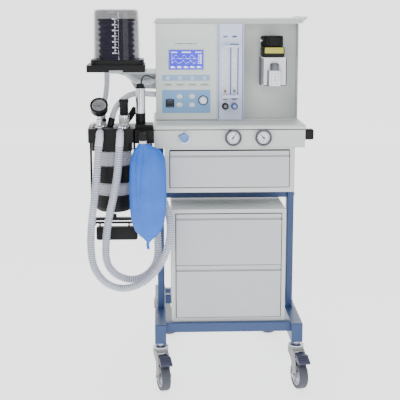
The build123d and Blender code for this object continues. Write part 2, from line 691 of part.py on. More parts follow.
PEG_X, PEG_Y, PEG_R = -277.0, 36.0, 7.0
with BuildPart() as bracket:
    with BuildSketch(level(882)):
        span(-323, -CONSOLE_HALF, -20, 100)
    extrude(amount=44)
    with BuildSketch(level(926)):
        span(-323, -CONSOLE_HALF - 3, 10, 100)
    extrude(amount=15)
    with BuildSketch(level(899)):
        span(-309, -285, -76, -20)
    extrude(amount=24)
    with BuildSketch(level(888)):
        disc(-297, BAG_Y, 9)
    extrude(amount=11)
    with BuildSketch(level(862)):
        disc(PEG_X, PEG_Y, PEG_R)
    extrude(amount=20)
with BuildPart() as pole:
    with BuildSketch(level(941)):
        disc(POLE_X, POLE_Y, 17.5)
    extrude(amount=35)
    with BuildSketch(level(976)):
        disc(POLE_X, POLE_Y, 16.4)
    extrude(amount=86)
    with BuildSketch(level(1062)):
        disc(POLE_X, POLE_Y, 13)
    extrude(amount=14)
    add(stub(signal_route, SIGNAL_HOSE / 2, 7).part)
with BuildPart() as right_grip:
    with BuildSketch(beside(CONSOLE_HALF)):
        span(40, 80, 883, 919, 6)
    extrude(amount=36)
    fillet(right_grip.faces().sort_by(Axis.X)[-1].edges(), 5)
write_group([bracket, pole, right_grip], "side_brackets")

# ---------------------------------------------------------------- absorber head
# A valve block with two hose elbows in front and ports on top, and under it the two rods
# and the yoke that the canisters hang in.

HEAD_LEFT, HEAD_RIGHT, HEAD_FRONT, HEAD_BACK = -483.0, -323.0, -19.0, 141.0
RODS_X, ROD_R = (-478.5, -328.0), 4.0
selector_plane = Plane(origin=at(-361, 104, HEAD_HIGH), x_dir=(0, 1, 0), z_dir=(0.545, 0, 0.838))
with BuildPart() as head:
    with BuildSketch(level(HEAD_LOW)):
        span(HEAD_LEFT, HEAD_RIGHT, HEAD_FRONT, HEAD_BACK, 10)
    extrude(amount=HEAD_HIGH - HEAD_LOW)
    with BuildSketch(level(NECK_LOW)):
        span(-472, -335, -11, 133, 14)
    extrude(amount=HEAD_LOW - NECK_LOW)
    add(stub(fresh_route[::-1], 12, 28).part)
    add(stub(bellows_route[::-1], 12, 30).part)
    with BuildSketch(level(HEAD_HIGH)):
        disc(APL_X, APL_Y, 17.5)
    extrude(amount=39)
    with BuildSketch(selector_plane.offset(-14)):
        Circle(10)
    extrude(amount=38)
    with BuildSketch(selector_plane.offset(12)):
        Circle(5 + SPINDLE_GAP)
    extrude(amount=12, mode=Mode.SUBTRACT)
elbows = []
for route in (expiratory_route, inspiratory_route):
    corner = route[0] + (route[0] - route[1]).normalized() * 14
    with BuildPart() as elbow:
        with BuildLine() as elbow_path:
            FilletPolyline((corner.X, FRONT_Y + HEAD_FRONT, corner.Z), corner, route[0], radius=12)
        with BuildSketch(Plane(origin=elbow_path.line @ 0, z_dir=elbow_path.line % 0)):
            Circle(PORT_R)
        sweep()
    elbows.append(elbow)
rods = []
for rod_x in RODS_X:
    with BuildPart() as rod:
        with BuildSketch(level(YOKE_HIGH)):
            disc(rod_x, CIRCLE_Y, ROD_R)
        extrude(amount=HEAD_LOW - YOKE_HIGH)
    rods.append(rod)
with BuildPart() as yoke:
    with BuildSketch(level(YOKE_LOW)):
        span(HEAD_LEFT, HEAD_RIGHT, CIRCLE_Y - 9, CIRCLE_Y + 9)
    extrude(amount=YOKE_HIGH - YOKE_LOW)
    with BuildSketch(level(YOKE_HIGH)):
        disc(CIRCLE_X, CIRCLE_Y, 8)
    extrude(amount=12)
    for lug_x in (-473, -332):
        with BuildSketch(beside(lug_x)):
            span(CIRCLE_Y - 7, CIRCLE_Y + 7, LIFT_PIN_Z - 7, YOKE_LOW)
            disc(CIRCLE_Y, LIFT_PIN_Z, 4 + SPINDLE_GAP, mode=Mode.SUBTRACT)
        extrude(amount=7)
write_group([head, *elbows, *rods, yoke], "absorber_head")

domes = []
for dome_x, dome_y, dome_r in ((-446.0, 46.0, 24.0), (-369.0, 8.0, 24.5)):
    with BuildPart() as valve_dome:
        with BuildSketch(level(HEAD_HIGH)):
            disc(dome_x, dome_y, dome_r)
        extrude(amount=16)
        fillet(valve_dome.faces().sort_by(Axis.Z)[-1].edges(), 5)
    domes.append(valve_dome)
write_group(domes, "valve_domes")

with BuildPart() as apl_knob:
    with BuildSketch(level(HEAD_HIGH + 39.5)):
        disc(APL_X, APL_Y, 15)
    extrude(amount=44)
    with BuildSketch(level(HEAD_HIGH + 83.5)):
        disc(APL_X, APL_Y, 17)
    extrude(amount=10)
write(apl_knob, "apl_knob")

# The bag/ventilator selector turns on its own leaning axis.
with BuildPart() as bag_vent_selector:
    with BuildSketch(selector_plane.offset(13)):
        Circle(5)
    extrude(amount=12)
    with BuildSketch(selector_plane.offset(24.3)):
        Circle(11)
    extrude(amount=46)
    fillet(bag_vent_selector.faces().sort_by(Axis.Z)[-1].edges(), 3)
write(bag_vent_selector, "bag_vent_selector")

# ---------------------------------------------------------------- canisters
# Two clear jars, the ring between them and the base under them come down together when the
# lift lever is swung back.

jars = []
for jar_low, jar_high in ((RING_HIGH, NECK_LOW), (LOWER_JAR_LOW, RING_LOW)):
    with BuildPart() as jar:
        with BuildSketch(level(jar_low)):
            disc(CIRCLE_X, CIRCLE_Y, CANISTER_R)
        extrude(amount=jar_high - jar_low)
        with BuildSketch(level(jar_low + 3)):
            disc(CIRCLE_X, CIRCLE_Y, CANISTER_R - 3)
        extrude(amount=jar_high - jar_low - 3, mode=Mode.SUBTRACT)
    jars.append(jar)
write_group(jars, "canisters")

with BuildPart() as canister_ring:
    with BuildSketch(level(RING_LOW)):
        disc(CIRCLE_X, CIRCLE_Y, CANISTER_R + 2)
    extrude(amount=RING_HIGH - RING_LOW)
with BuildPart() as canister_base:
    with BuildSketch(level(CARRIER_LOW)):
        disc(CIRCLE_X, CIRCLE_Y, CANISTER_R)
    extrude(amount=LOWER_JAR_LOW - CARRIER_LOW)
    fillet(canister_base.faces().sort_by(Axis.Z)[0].edges(), 20)
write_group([canister_ring, canister_base], "canister_carrier")

with BuildPart() as lift_lever:
    with BuildSketch(beside(-474)):
        disc(CIRCLE_Y, LIFT_PIN_Z, 4)
    extrude(amount=150)
    for arm_x in (-452, -350):
        with BuildSketch(level(576)):
            disc(arm_x, CIRCLE_Y, 3)
        extrude(amount=LIFT_PIN_Z - 576)
    with BuildSketch(facing(CIRCLE_Y + 10)):
        span(-465, -320, 530, 577, 8)
    extrude(amount=20)
write(lift_lever, "lift_lever")

# ---------------------------------------------------------------- hoses
# Two ribbed breathing hoses hang from the elbows to the parked Y-piece; four link hoses join
# the tower, the arm, the pole and the absorber head.

write(hose(expiratory_route, BREATHING_HOSE, "hose_expiratory"), "hose_expiratory")
write(hose(inspiratory_route, BREATHING_HOSE, "hose_inspiratory"), "hose_inspiratory")
write_group([hose(bellows_route, LINK_HOSE, "bellows hose"), hose(fresh_route, FRESH_HOSE, "fresh gas hose"),
             hose(drive_route, LINK_HOSE, "drive hose"), hose(signal_route, SIGNAL_HOSE, "signal hose")],
            "link_hoses")

# The Y-piece hangs on its parking peg: a port on top, a bridge and a leg for each hose.
with BuildPart() as y_piece:
    with BuildSketch(level(828)):
        span(-308, -246, 22, 49, 12)
    extrude(amount=20)
    with BuildSketch(level(848)):
        disc(PEG_X, PEG_Y, 11)
    extrude(amount=28)
    for route in (expiratory_route, inspiratory_route):
        add(stub(route[::-1], PORT_R, 38).part)
    with BuildSketch(level(852)):
        disc(PEG_X, PEG_Y, PEG_R + 0.5)
    extrude(amount=24, mode=Mode.SUBTRACT)
write(y_piece, "y_piece")

# ---------------------------------------------------------------- reservoir bag
# A soft bag, round in front and thin at its edges, with a tail loop.

with BuildPart() as bag:
    for bag_z, half_wide, half_deep in ((888, 13, 12), (862, 34, 20), (820, 54, 29), (740, 62, 33),
                                        (660, 60, 31), (600, 44, 22), (556, 16, 9)):
        lean = (-297 - BAG_X) * max(0, (bag_z - 780) / 108)
        with BuildSketch(level(bag_z)):
            with Locations((BAG_X + lean, BAG_Y)):
                Ellipse(half_wide, half_deep)
    loft()
    with BuildSketch(level(526)):
        disc(BAG_X - 5, BAG_Y, 5)
    extrude(amount=36)
write(bag, "reservoir_bag")

# ---------------------------------------------------------------- rear fittings
# Two gas inlets, the scavenging cone and the mains inlet, all on the rear cover.

COVER_BACK = CONSOLE_BACK + SHEET
rear_plane = Plane(origin=at(0, COVER_BACK, 0), x_dir=(-1, 0, 0), z_dir=(0, 1, 0))
rear_pins = []
for pin_x, pin_z, pin_r, pin_long in ((120, 1010, 8, 22), (60, 1010, 8, 22), (-60, 1010, 15, 26)):
    with BuildPart() as pin:
        with BuildSketch(rear_plane):
            disc(-pin_x, pin_z, pin_r + 5)
        extrude(amount=4)
        with BuildSketch(rear_plane.offset(4)):
            disc(-pin_x, pin_z, pin_r)
        extrude(amount=pin_long)
    rear_pins.append(pin)
with BuildPart() as mains_inlet:
    with BuildSketch(rear_plane):
        span(126, 176, 990, 1022, 3)
    extrude(amount=20)
    with BuildSketch(rear_plane.offset(4)):
        span(138.5, 163.5, 997.5, 1014.5)
    extrude(amount=16, mode=Mode.SUBTRACT)
write_group([*rear_pins, mains_inlet], "rear_fittings")
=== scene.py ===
"""A veterinary anesthesia machine on its trolley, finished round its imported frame.

Sizes are in millimetres from the middle of the console's front, as the machine is built, and
at() turns such a place into the frame's own metres."""

import math

import bmesh
import bpy
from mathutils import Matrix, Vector


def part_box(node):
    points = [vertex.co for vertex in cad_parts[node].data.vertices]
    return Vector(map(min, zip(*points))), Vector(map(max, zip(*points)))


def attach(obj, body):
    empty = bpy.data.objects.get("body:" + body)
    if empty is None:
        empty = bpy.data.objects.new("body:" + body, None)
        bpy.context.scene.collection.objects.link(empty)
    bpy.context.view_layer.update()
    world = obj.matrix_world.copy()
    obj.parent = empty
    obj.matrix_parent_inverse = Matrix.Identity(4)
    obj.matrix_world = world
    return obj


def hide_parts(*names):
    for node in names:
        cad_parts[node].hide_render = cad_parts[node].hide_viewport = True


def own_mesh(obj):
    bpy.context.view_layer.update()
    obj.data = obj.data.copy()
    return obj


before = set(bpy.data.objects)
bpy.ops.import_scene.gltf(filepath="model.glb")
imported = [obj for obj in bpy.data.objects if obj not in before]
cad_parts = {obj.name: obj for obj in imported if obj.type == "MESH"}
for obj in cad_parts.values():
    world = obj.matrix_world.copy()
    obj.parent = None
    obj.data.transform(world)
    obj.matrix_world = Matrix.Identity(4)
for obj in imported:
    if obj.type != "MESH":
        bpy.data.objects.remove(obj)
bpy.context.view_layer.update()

# ---------------------------------------------------------------- where things are
# The console is the machine's datum: its front edge overhangs the front sheet by 7 mm, and
# it is as wide on the left as on the right.
MM = 0.001
LIP_OVERHANG = 7.0
console_low, console_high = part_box("console_body")
datum = Vector(((console_low.x + console_high.x) / 2, console_low.y + LIP_OVERHANG * MM, 0))


def at(x, y, z):
    """A place in mm from the middle of the console's front, in metres in the frame."""
    return datum + Vector((x, y, z)) * MM


# ---------------------------------------------------------------- viewpoint
# A long lens a little above the desk, some three metres in front, turned slightly right.
LENS, EYE = 90, (-242, -3389, 1346)
LOOK_DOWN, LOOK_RIGHT = 11.09, 2.36
eye = bpy.data.cameras.new("viewpoint")
eye.lens = LENS
viewpoint = bpy.data.objects.new("viewpoint", eye)
viewpoint.location = at(*EYE)
viewpoint.rotation_euler = (math.radians(90 - LOOK_DOWN), 0, math.radians(-LOOK_RIGHT))
bpy.context.collection.objects.link(viewpoint)
bpy.context.scene.camera = viewpoint

# ---------------------------------------------------------------- breathing hoses
# Two light corrugated tubes, blown from a soft polymer, with plain cuffs pushed on the
# elbows at the top and on the Y-piece's legs. They hang in a loop under their own weight.


def linear(hex_text):
    """An sRGB hex colour as linear red, green, blue and full alpha."""
    channels = [int(hex_text[i:i + 2], 16) / 255 for i in (1, 3, 5)]
    return [c / 12.92 if c <= 0.04045 else ((c + 0.055) / 1.055) ** 2.4 for c in channels] + [1.0]


def finish_of(name, colour, **sockets):
    """A new material: its shader's colour, and other sockets by name with _ for a space."""
    material = bpy.data.materials.new(name)
    material.use_nodes = True
    shader = material.node_tree.nodes["Principled BSDF"]
    shader.inputs["Base Color"].default_value = linear(colour)
    for socket, value in sockets.items():
        shader.inputs[socket.replace("_", " ")].default_value = value
    return material, shader


def add_node(material, kind, links=(), **settings):
    """Adds a node; links pairs its input sockets with others' outputs, settings are its own
    properties or the values of its sockets, with _ for a space."""
    node = material.node_tree.nodes.new(kind)
    for name, value in settings.items():
        if hasattr(node, name):
            setattr(node, name, value)
        else:
            node.inputs[name.replace("_", " ")].default_value = value
    for socket, source in links:
        material.node_tree.links.new(source, node.inputs[socket])
    return node


def grain(material, shader, place, size, detail, strength, depth):
    """Roughens a finish with a fine noise, size mm across and depth mm deep."""
    noise = add_node(material, "ShaderNodeTexNoise", [("Vector", place.outputs["Object"])],
                     Scale=1 / (size * MM), Detail=detail)
    bump = add_node(material, "ShaderNodeBump", [("Height", noise.outputs["Fac"])],
                    Strength=strength, Distance=depth * MM)
    material.node_tree.links.new(bump.outputs["Normal"], shader.inputs["Normal"])


def clouds(material, shader, place, size, detail, light, dark):
    """Lets the colour drift between two linear colours in soft clouds, size mm across."""
    noise = add_node(material, "ShaderNodeTexNoise", [("Vector", place.outputs["Object"])],
                     Scale=1 / (size * MM), Detail=detail)
    tint = add_node(material, "ShaderNodeMixRGB", [("Fac", noise.outputs["Fac"])], Color1=light, Color2=dark)
    material.node_tree.links.new(tint.outputs["Color"], shader.inputs["Base Color"])


def shade(colour, share):
    """A hex colour made lighter or darker by a share, as a linear colour."""
    return [min(1, c * share) for c in linear(colour)[:3]] + [1.0]


def soft_polymer(name, colour, roughness, glow=0.0):
    """Blown polymer: faintly cloudy, with light that soaks a little way in."""
    material, shader = finish_of(name, colour, Roughness=roughness, Subsurface_Weight=glow,
                                 Subsurface_Scale=0.004)
    place = add_node(material, "ShaderNodeTexCoord")
    clouds(material, shader, place, 25, 3.0, linear(colour), shade(colour, 0.82))
    # die marks 2 mm apart
    grain(material, shader, place, 2, 2.0, 0.15, 0.3)
    return material


def centreline(name, route):
    """The smooth line of a hose through its route, as points 1 mm or so apart."""
    line = bpy.data.curves.new(name, "CURVE")
    line.dimensions = "3D"
    line.resolution_u = 40
    spline = line.splines.new("NURBS")
    spline.points.add(len(route) - 1)
    for point, place in zip(spline.points, route):
        point.co = (*place, 1)
    spline.order_u = 3
    spline.use_endpoint_u = True
    holder = bpy.data.objects.new(name, line)
    drawn = bpy.data.meshes.new_from_object(holder)
    points = [v.co.copy() for v in drawn.vertices]
    bpy.data.objects.remove(holder)
    bpy.data.meshes.remove(drawn)
    return points


def even_steps(points, step):
    """The same line with its points evenly spaced, about step metres apart."""
    lengths = [0.0]
    for a, b in zip(points, points[1:]):
        lengths.append(lengths[-1] + (b - a).length)
    count = max(2, round(lengths[-1] / step))
    even, k = [], 0
    for i in range(count + 1):
        target = lengths[-1] * i / count
        while k < len(lengths) - 2 and lengths[k + 1] < target:
            k += 1
        share = (target - lengths[k]) / max(lengths[k + 1] - lengths[k], 1e-9)
        even.append(points[k].lerp(points[k + 1], min(1.0, share)))
    return even, lengths[-1]


def tube_mesh(name, points, radius_at, sides):
    """A closed tube along points, with radius_at(distance) in metres."""
    shape = bmesh.new()
    rings, travelled = [], 0.0
    side = None
    for i, point in enumerate(points):
        ahead = (points[min(i + 1, len(points) - 1)] - points[max(i - 1, 0)]).normalized()
        side = ahead.orthogonal() if side is None else side - ahead * side.dot(ahead)
        side.normalize()
        other = ahead.cross(side)
        if i:
            travelled += (point - points[i - 1]).length
        radius = radius_at(travelled)
        rings.append([shape.verts.new(point + (side * math.cos(a) + other * math.sin(a)) * radius)
                      for a in (2 * math.pi * k / sides for k in range(sides))])
    for back, front in zip(rings, rings[1:]):
        for k in range(sides):
            n = (k + 1) % sides
            shape.faces.new((back[k], back[n], front[n], front[k]))
    shape.faces.new(list(reversed(rings[0])))
    shape.faces.new(rings[-1])
    mesh = bpy.data.meshes.new(name)
    shape.to_mesh(mesh)
    shape.free()
    return mesh


def piece(name, mesh, finishes, body, slot, *nodes, sharp=38):
    """A finished piece: its mesh, its materials, the body it rides on, a slot, which is not used,
    and the frame's nodes that it stands for."""
    thing = bpy.data.objects.new(name, mesh)
    bpy.context.collection.objects.link(thing)
    for finish in finishes if isinstance(finishes, (list, tuple)) else [finishes]:
        mesh.materials.append(finish)
    mesh.shade_smooth()
    if sharp:
        mesh.set_sharp_from_angle(angle=math.radians(sharp))
    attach(thing, body)
    if nodes:
        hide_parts(*nodes)
    return thing


HOSE_R, RIB_DEPTH, RIB_PITCH = 14.4, 3.4, 7.8
CUFF_R, CUFF_LONG, CUFF_LIP = 13.2, 34.0, 4.0
GROOVE_FROM = 0.55
HOSE_SIDES = 28
hose_polymer = soft_polymer("corrugated soft polymer", "#D3D7E4", 0.4, 0.12)
# a darker polymer for the hose's grooves: painted shade
groove_shade_polymer = soft_polymer("polymer with painted groove shade", "#A3A8B8", 0.6, 0.05)
breathing_routes = {
    "hose_expiratory": (
        (-441, -48, 905), (-448, -57, 852), (-453, -60, 775), (-463, -60, 695), (-475, -58, 605),
        (-479, -56, 525), (-469, -56, 452), (-426, -56, 396), (-364, -55, 379), (-297, -54, 402),
        (-241, -50, 460), (-209, -42, 535), (-204, -30, 618), (-228, -20, 688), (-250, 8, 738),
        (-256, 26, 795)),
    "hose_inspiratory": (
        (-373, -48, 905), (-377, -52, 852), (-383, -46, 780), (-398, -36, 702), (-417, -28, 625),
        (-428, -22, 545), (-430, -20, 467), (-396, -20, 420), (-340, -20, 401), (-285, -20, 420),
        (-250, -15, 468), (-249, -4, 545), (-256, 14, 625), (-272, 24, 705), (-290, 32, 795)),
}


def rib(distance, whole):
    """The hose's radius: plain cuffs at both ends, and round corrugations between them."""
    from_end = min(distance, whole - distance) / MM
    if from_end < CUFF_LONG:
        return (CUFF_R - 0.8 * (from_end > CUFF_LONG - CUFF_LIP)) * MM
    wave = 0.5 + 0.5 * math.cos(2 * math.pi * distance / MM / RIB_PITCH)
    return (HOSE_R - RIB_DEPTH * wave ** 0.7) * MM


for hose_name, route in breathing_routes.items():
    line, hose_length = even_steps(centreline(hose_name + "_line", [at(*p) for p in route]), 0.00155)
    tube = piece(hose_name + "_tube", tube_mesh(hose_name + "_tube", line, lambda d: rib(d, hose_length),
                                                     HOSE_SIDES), hose_polymer,
                 "machine", "hose_plastic", hose_name, sharp=0)
    # the grooves get the darker polymer: painted shade
    tube.data.materials.append(groove_shade_polymer)
    for face in tube.data.polygons:
        along = hose_length * (face.index // HOSE_SIDES + 0.5) / (len(line) - 1)
        face.material_index = int(rib(along, hose_length) < (HOSE_R - GROOVE_FROM * RIB_DEPTH) * MM)

# ---------------------------------------------------------------- trolley frame
# Welded steel rails, columns and cross tubes, powder coated blue after welding. The coat is
# satin, with a fine orange peel and a slightly darker bloom where it is thick.


def powder_coat(name, colour, roughness=0.42, cloud=0.06):
    """Baked powder paint: satin, with orange peel about 1.5 mm across."""
    material, shader = finish_of(name, colour, Roughness=roughness)
    shader.inputs["Coat Weight"].default_value = 0.12
    shader.inputs["Coat Roughness"].default_value = 0.3
    place = add_node(material, "ShaderNodeTexCoord")
    # the bloom drifts over some 180 mm
    clouds(material, shader, place, 180, 2.0, shade(colour, 1 + cloud), shade(colour, 1 - cloud))
    grain(material, shader, place, 1.5, 1.0, 0.12, 0.2)
    return material


def dress(finish, *nodes, rounding=0.8):
    """Gives frame nodes their finish, with their edges broken by rounding in mm."""
    for node in nodes:
        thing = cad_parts[node]
        thing.data.materials.clear()
        thing.data.materials.append(finish)
        if rounding:
            edge = thing.modifiers.new("broken edges", "BEVEL")
            edge.width = rounding * MM
            edge.segments = 2
            edge.limit_method = "ANGLE"
            edge.angle_limit = math.radians(50)
            edge.harden_normals = True


def slab(name, low, high, rounding=1.0, segments=3):
    """A block between two corners in mm, with rounded edges."""
    shape = bmesh.new()
    bmesh.ops.create_cube(shape, size=1)
    a, b = at(*low), at(*high)
    for v in shape.verts:
        v.co = Vector([(a[i] + b[i]) / 2 + v.co[i] * (b[i] - a[i]) for i in range(3)])
    if rounding:
        bmesh.ops.bevel(shape, geom=shape.edges[:], offset=rounding * MM, segments=segments,
                        profile=0.5, affect="EDGES")
    mesh = bpy.data.meshes.new(name)
    shape.to_mesh(mesh)
    shape.free()
    return mesh


def turned(name, profile, foot, axis=(0, 0, 1), steps=64, shaped=None):
    """A mesh turned about an axis from (radius, height) pairs in mm, starting at its foot.
    shaped(radius, height, angle) may change the radius, as for flutes."""
    shape = bmesh.new()
    up = Vector(axis).normalized()
    across = up.orthogonal().normalized()
    along = up.cross(across)
    rings = []
    for radius, height in profile:
        ring = []
        for k in range(steps):
            angle = 2 * math.pi * k / steps
            r = shaped(radius, height, angle) if shaped else radius
            ring.append(shape.verts.new(foot + (across * math.cos(angle) + along * math.sin(angle)) * r * MM
                                        + up * height * MM))
        rings.append(ring)
    for lower, upper in zip(rings, rings[1:]):
        for k in range(steps):
            n = (k + 1) % steps
            shape.faces.new((lower[k], lower[n], upper[n], upper[k]))
    if profile[0] != profile[-1]:
        if profile[0][0] > 0:
            shape.faces.new(list(reversed(rings[0])))
        if profile[-1][0] > 0:
            shape.faces.new(rings[-1])
    bmesh.ops.remove_doubles(shape, verts=shape.verts[:], dist=1e-7)
    mesh = bpy.data.meshes.new(name)
    shape.to_mesh(mesh)
    shape.free()
    return mesh


def joined(name, meshes):
    """Several meshes as one."""
    shape = bmesh.new()
    for mesh in meshes:
        shape.from_mesh(mesh)
        bpy.data.meshes.remove(mesh)
    mesh = bpy.data.meshes.new(name)
    shape.to_mesh(mesh)
    shape.free()
    return mesh


blue_coat = powder_coat("blue powder coat", "#274373", 0.42, 0.08)
dress(blue_coat, "base_frame", "upright_frame", rounding=1.2)

# Zinc plated bolts join the columns to the rails and the crossbar to the columns.
zinc, _ = finish_of("zinc plated steel", "#B9BCC2", Metallic=1.0, Roughness=0.32)
bolts = []
for side in (-1, 1):
    for y in (208, 234):
        bolts.append(turned("bolt", ((6.5, 0), (6.5, 3.4), (5.6, 4.2), (0, 4.2)), at(side * 251, y, 250),
                            (side, 0, 0), 6))
        bolts.append(turned("bolt", ((6.5, 0), (6.5, 3.4), (5.6, 4.2), (0, 4.2)), at(side * 251, y, 660),
                            (side, 0, 0), 6))
piece("frame_bolts", joined("frame_bolts", bolts), zinc, "machine", "frame_paint", sharp=30)

# ---------------------------------------------------------------- casters
# Moulded nylon forks in a warm grey, grey rubber tyres on a light hub, a hexagon axle bolt,
# and on the front pair a dark moulded brake pedal with a ribbed tread.


def moulded(name, colour, roughness=0.4, grit=1.2, depth=0.1, shine=0.5):
    """Injection moulded plastic: even colour, with a fine spark texture grit mm across."""
    material, shader = finish_of(name, colour, Roughness=roughness, Specular_IOR_Level=shine)
    place = add_node(material, "ShaderNodeTexCoord")
    grain(material, shader, place, grit, 2.0, depth, 0.2)
    # handling leaves patches some 30 mm across a little duller
    wear = add_node(material, "ShaderNodeTexNoise", [("Vector", place.outputs["Object"])],
                    Scale=1 / (30 * MM), Detail=4.0)
    spread = add_node(material, "ShaderNodeMapRange", [("Value", wear.outputs["Fac"])],
                      To_Min=roughness - 0.06, To_Max=roughness + 0.08)
    material.node_tree.links.new(spread.outputs["Result"], shader.inputs["Roughness"])
    return material


nylon = moulded("warm grey nylon", "#8A8A8C", 0.45)
tyre_rubber = moulded("grey tyre rubber", "#4A4C55", 0.7, 2.0, 0.3)
hub_plastic = moulded("light hub plastic", "#B4B4BE", 0.4)
pedal_plastic = moulded("dark pedal plastic", "#3E4258", 0.45)
TRAIL, WHEEL_R = 36.0, 50.0
TYRE = ((36, -13), (43, -15.5), (46.5, -15.8), (49, -13), (50, -8), (50, -3), (49.6, 0), (50, 3), (50, 8),
        (49, 13), (46.5, 15.8), (43, 15.5), (36, 13))
HUB = ((5.1, -14), (9, -14.6), (12, -14), (13.5, -9), (29, -7.5), (33, -13.5), (36, -14), (36, 14),
       (33, 13.5), (29, 7.5), (13.5, 9), (12, 14), (9, 14.6), (5.1, 14), (5.1, -14))
casters = {"front_left": (-242, 8, -76), "front_right": (242, 8, -76),
           "rear_left": (-242, 592, 0), "rear_right": (242, 592, 180)}
for place_name, (x, y, heading) in casters.items():
    tx, ty = math.cos(math.radians(heading)), math.sin(math.radians(heading))
    axle = at(x + TRAIL * tx, y + TRAIL * ty, WHEEL_R)
    sideways = Vector((ty, -tx, 0))
    fork, wheel = "caster_fork_" + place_name, "wheel_" + place_name
    dress(nylon, fork, rounding=1.5)
    piece("tyre_" + place_name, turned("tyre", TYRE + TYRE[:1], axle, sideways), tyre_rubber, wheel, "tyre",
          "caster_wheel_" + place_name)
    piece("hub_" + place_name, turned("hub", HUB, axle, sideways), hub_plastic, wheel, "tyre")
    nuts = []
    for face in (-1, 1):
        nuts.append(turned("nut", ((12, 0), (12, 1.2), (8.6, 1.4), (8.6, 6), (7, 7), (0, 7)),
                           axle + sideways * face * 21 * MM, sideways * face, 6))
    # the raceway's dust ring under the rail
    nuts.append(turned("raceway", ((25, 0), (28, 1), (28, 5), (22, 7.5), (12, 8), (12, 15), (0, 15)),
                       at(x, y, 148), (0, 0, 1)))
    piece("axle_" + place_name, joined("axle", nuts), zinc, "caster_" + place_name, "fork_metal")
    if place_name.startswith("front"):
        side_name = place_name[6:]
        dress(pedal_plastic, "brake_pedal_" + side_name, rounding=2.0)
        treads = []
        for k in range(4):
            run, rise = 62 + 6 * k, 128.2 - 4.4 * k
            middle = at(x + run * tx, y + run * ty, rise)
            treads.append(turned("tread", ((0, -17), (1.6, -16), (1.6, 16), (0, 17)), middle, sideways, 10))
        piece("tread_" + side_name, joined("tread", treads), pedal_plastic, "pedal_" + side_name, "pedal")

# ---------------------------------------------------------------- cabinets and drawers
# Folded steel carcasses in light grey powder coat, with drawer faces a shade darker whose
# top edge leans over a finger pull. The drawers run on zinc plated ball slides.
light_coat = powder_coat("light grey powder coat", "#C9CDCC", 0.45, 0.03)
drawer_coat = powder_coat("drawer grey powder coat", "#BDC0C5", 0.45, 0.03)
dress(light_coat, "lower_cabinet", "console_body", rounding=0.8)
dress(drawer_coat, "cabinet_drawer_upper", "cabinet_drawer_lower", "console_drawer", rounding=0.8)

SLIDE_LONG = 310.0
for drawer_body, half, wall, low_z, high_z in (("cabinet_drawer_upper", 176.5, 199, 443, 625.5),
                                               ("cabinet_drawer_lower", 176.5, 199, 251.5, 440.5),
                                               ("console_drawer", 196.5, 220, 727, 852)):
    middle_z = (low_z + high_z) / 2 - 12
    inner, outer = [], []
    for side in (-1, 1):
        x0, x1 = sorted((side * (half + 0.3), side * (half + 6.3)))
        inner.append(slab("slide", (x0, 44, middle_z - 11), (x1, 44 + SLIDE_LONG, middle_z + 11), 1.5))
        x0, x1 = sorted((side * (half + 8.5), side * (wall - 0.3)))
        outer.append(slab("slide", (x0, 48, middle_z - 18), (x1, 48 + SLIDE_LONG, middle_z + 18), 2))
    piece(drawer_body + "_slides", joined("slides", inner), zinc, drawer_body, "gauge")
    piece(drawer_body + "_rails", joined("rails", outer), zinc, "machine", "gauge")

# black strips fill the gaps round the drawers: painted shade in the gaps
gap_shade_black, _ = finish_of("black painted gap shade", "#141416", Roughness=1.0)
gap_shade_bars = []
for half, front, levels in ((186, 26, ((250, 2.6), (441.75, 1.6), (627, 2.6))),
                            (206, -2, ((725, 2.6), (854.6, 4.4)))):
    low, high = levels[0][0], levels[-1][0]
    for side in (-1, 1):
        x0, x1 = sorted((side * (half - 1.1), side * (half + 1.5)))
        gap_shade_bars.append(slab("seal", (x0, front - 0.25, low), (x1, front + 16, high), 0, 1))
    for z, thick in levels:
        low_corner, high_corner = (-half, front - 0.25, z - thick / 2), (half, front + 16, z + thick / 2)
        gap_shade_bars.append(slab("seal", low_corner, high_corner, 0, 1))
piece("drawer_gap_shade", joined("drawer_gap_shade", gap_shade_bars), gap_shade_black, "machine", "black_plastic", sharp=0)
# thin black strips under the desk's lip and at the tower's foot: painted shadow
shadow_gap_bars = [slab("joint", (-258.5, -0.6, 923.4), (258.5, 4, 926.9), 0, 1),
              slab("joint", (-252.6, 153.2, 939.9), (58, 158, 942.4), 0, 1)]
piece("console_shadow_gaps", joined("console_shadow_gaps", shadow_gap_bars), gap_shade_black, "machine", "black_plastic", sharp=0)

# ---------------------------------------------------------------- flush button
# A blue push cap in a thin chromed ring on the console's front. It slides in the front sheet
# and springs back when it is let go.
GAUGE_Z, FLUSH_X = 898.0, -156.0
chrome, _ = finish_of("chromed steel", "#C9CCD2", Metallic=1.0, Roughness=0.12)
blue_cap = moulded("blue anodised cap", "#5C88C0", 0.3, 0.8, 0.05)
toward = (0, -1, 0)
piece("flush_cap", turned("flush_cap", ((14.5, -14), (14.5, 0), (16.5, 0), (16.5, 5.5), (15, 7.6), (9, 8),
                                        (7.5, 7.2), (0, 7)), at(FLUSH_X, -5, GAUGE_Z), toward),
      blue_cap, "flush_button", "blue_plastic", "flush_button")
piece("flush_ring", turned("flush_ring", ((17.2, 0), (21, 0), (21, 1), (19.5, 2), (17.2, 2), (17.2, 0)),
                           at(FLUSH_X, 0, GAUGE_Z), toward), chrome, "machine", "gauge")

# ---------------------------------------------------------------- pressure gauges
# Two gauges with brushed bezels and white enamelled dials in the console's front, and a black
# one with a grey dial on the absorber, each with printed graduations, a flat black needle and
# a glass.
black_plastic = moulded("black moulded plastic", "#060708", 0.45, 1.5, 0.1, 0.25)
dial_enamel, _ = finish_of("white enamelled dial", "#ECEEF4", Roughness=0.35)
print_and_shadow_black, _ = finish_of("black print and painted shadow", "#1B1C22", Roughness=0.6)
print_grey, _ = finish_of("grey print", "#70747E", Roughness=0.6)
needle_black, _ = finish_of("black lacquered needle", "#101116", Roughness=0.3)


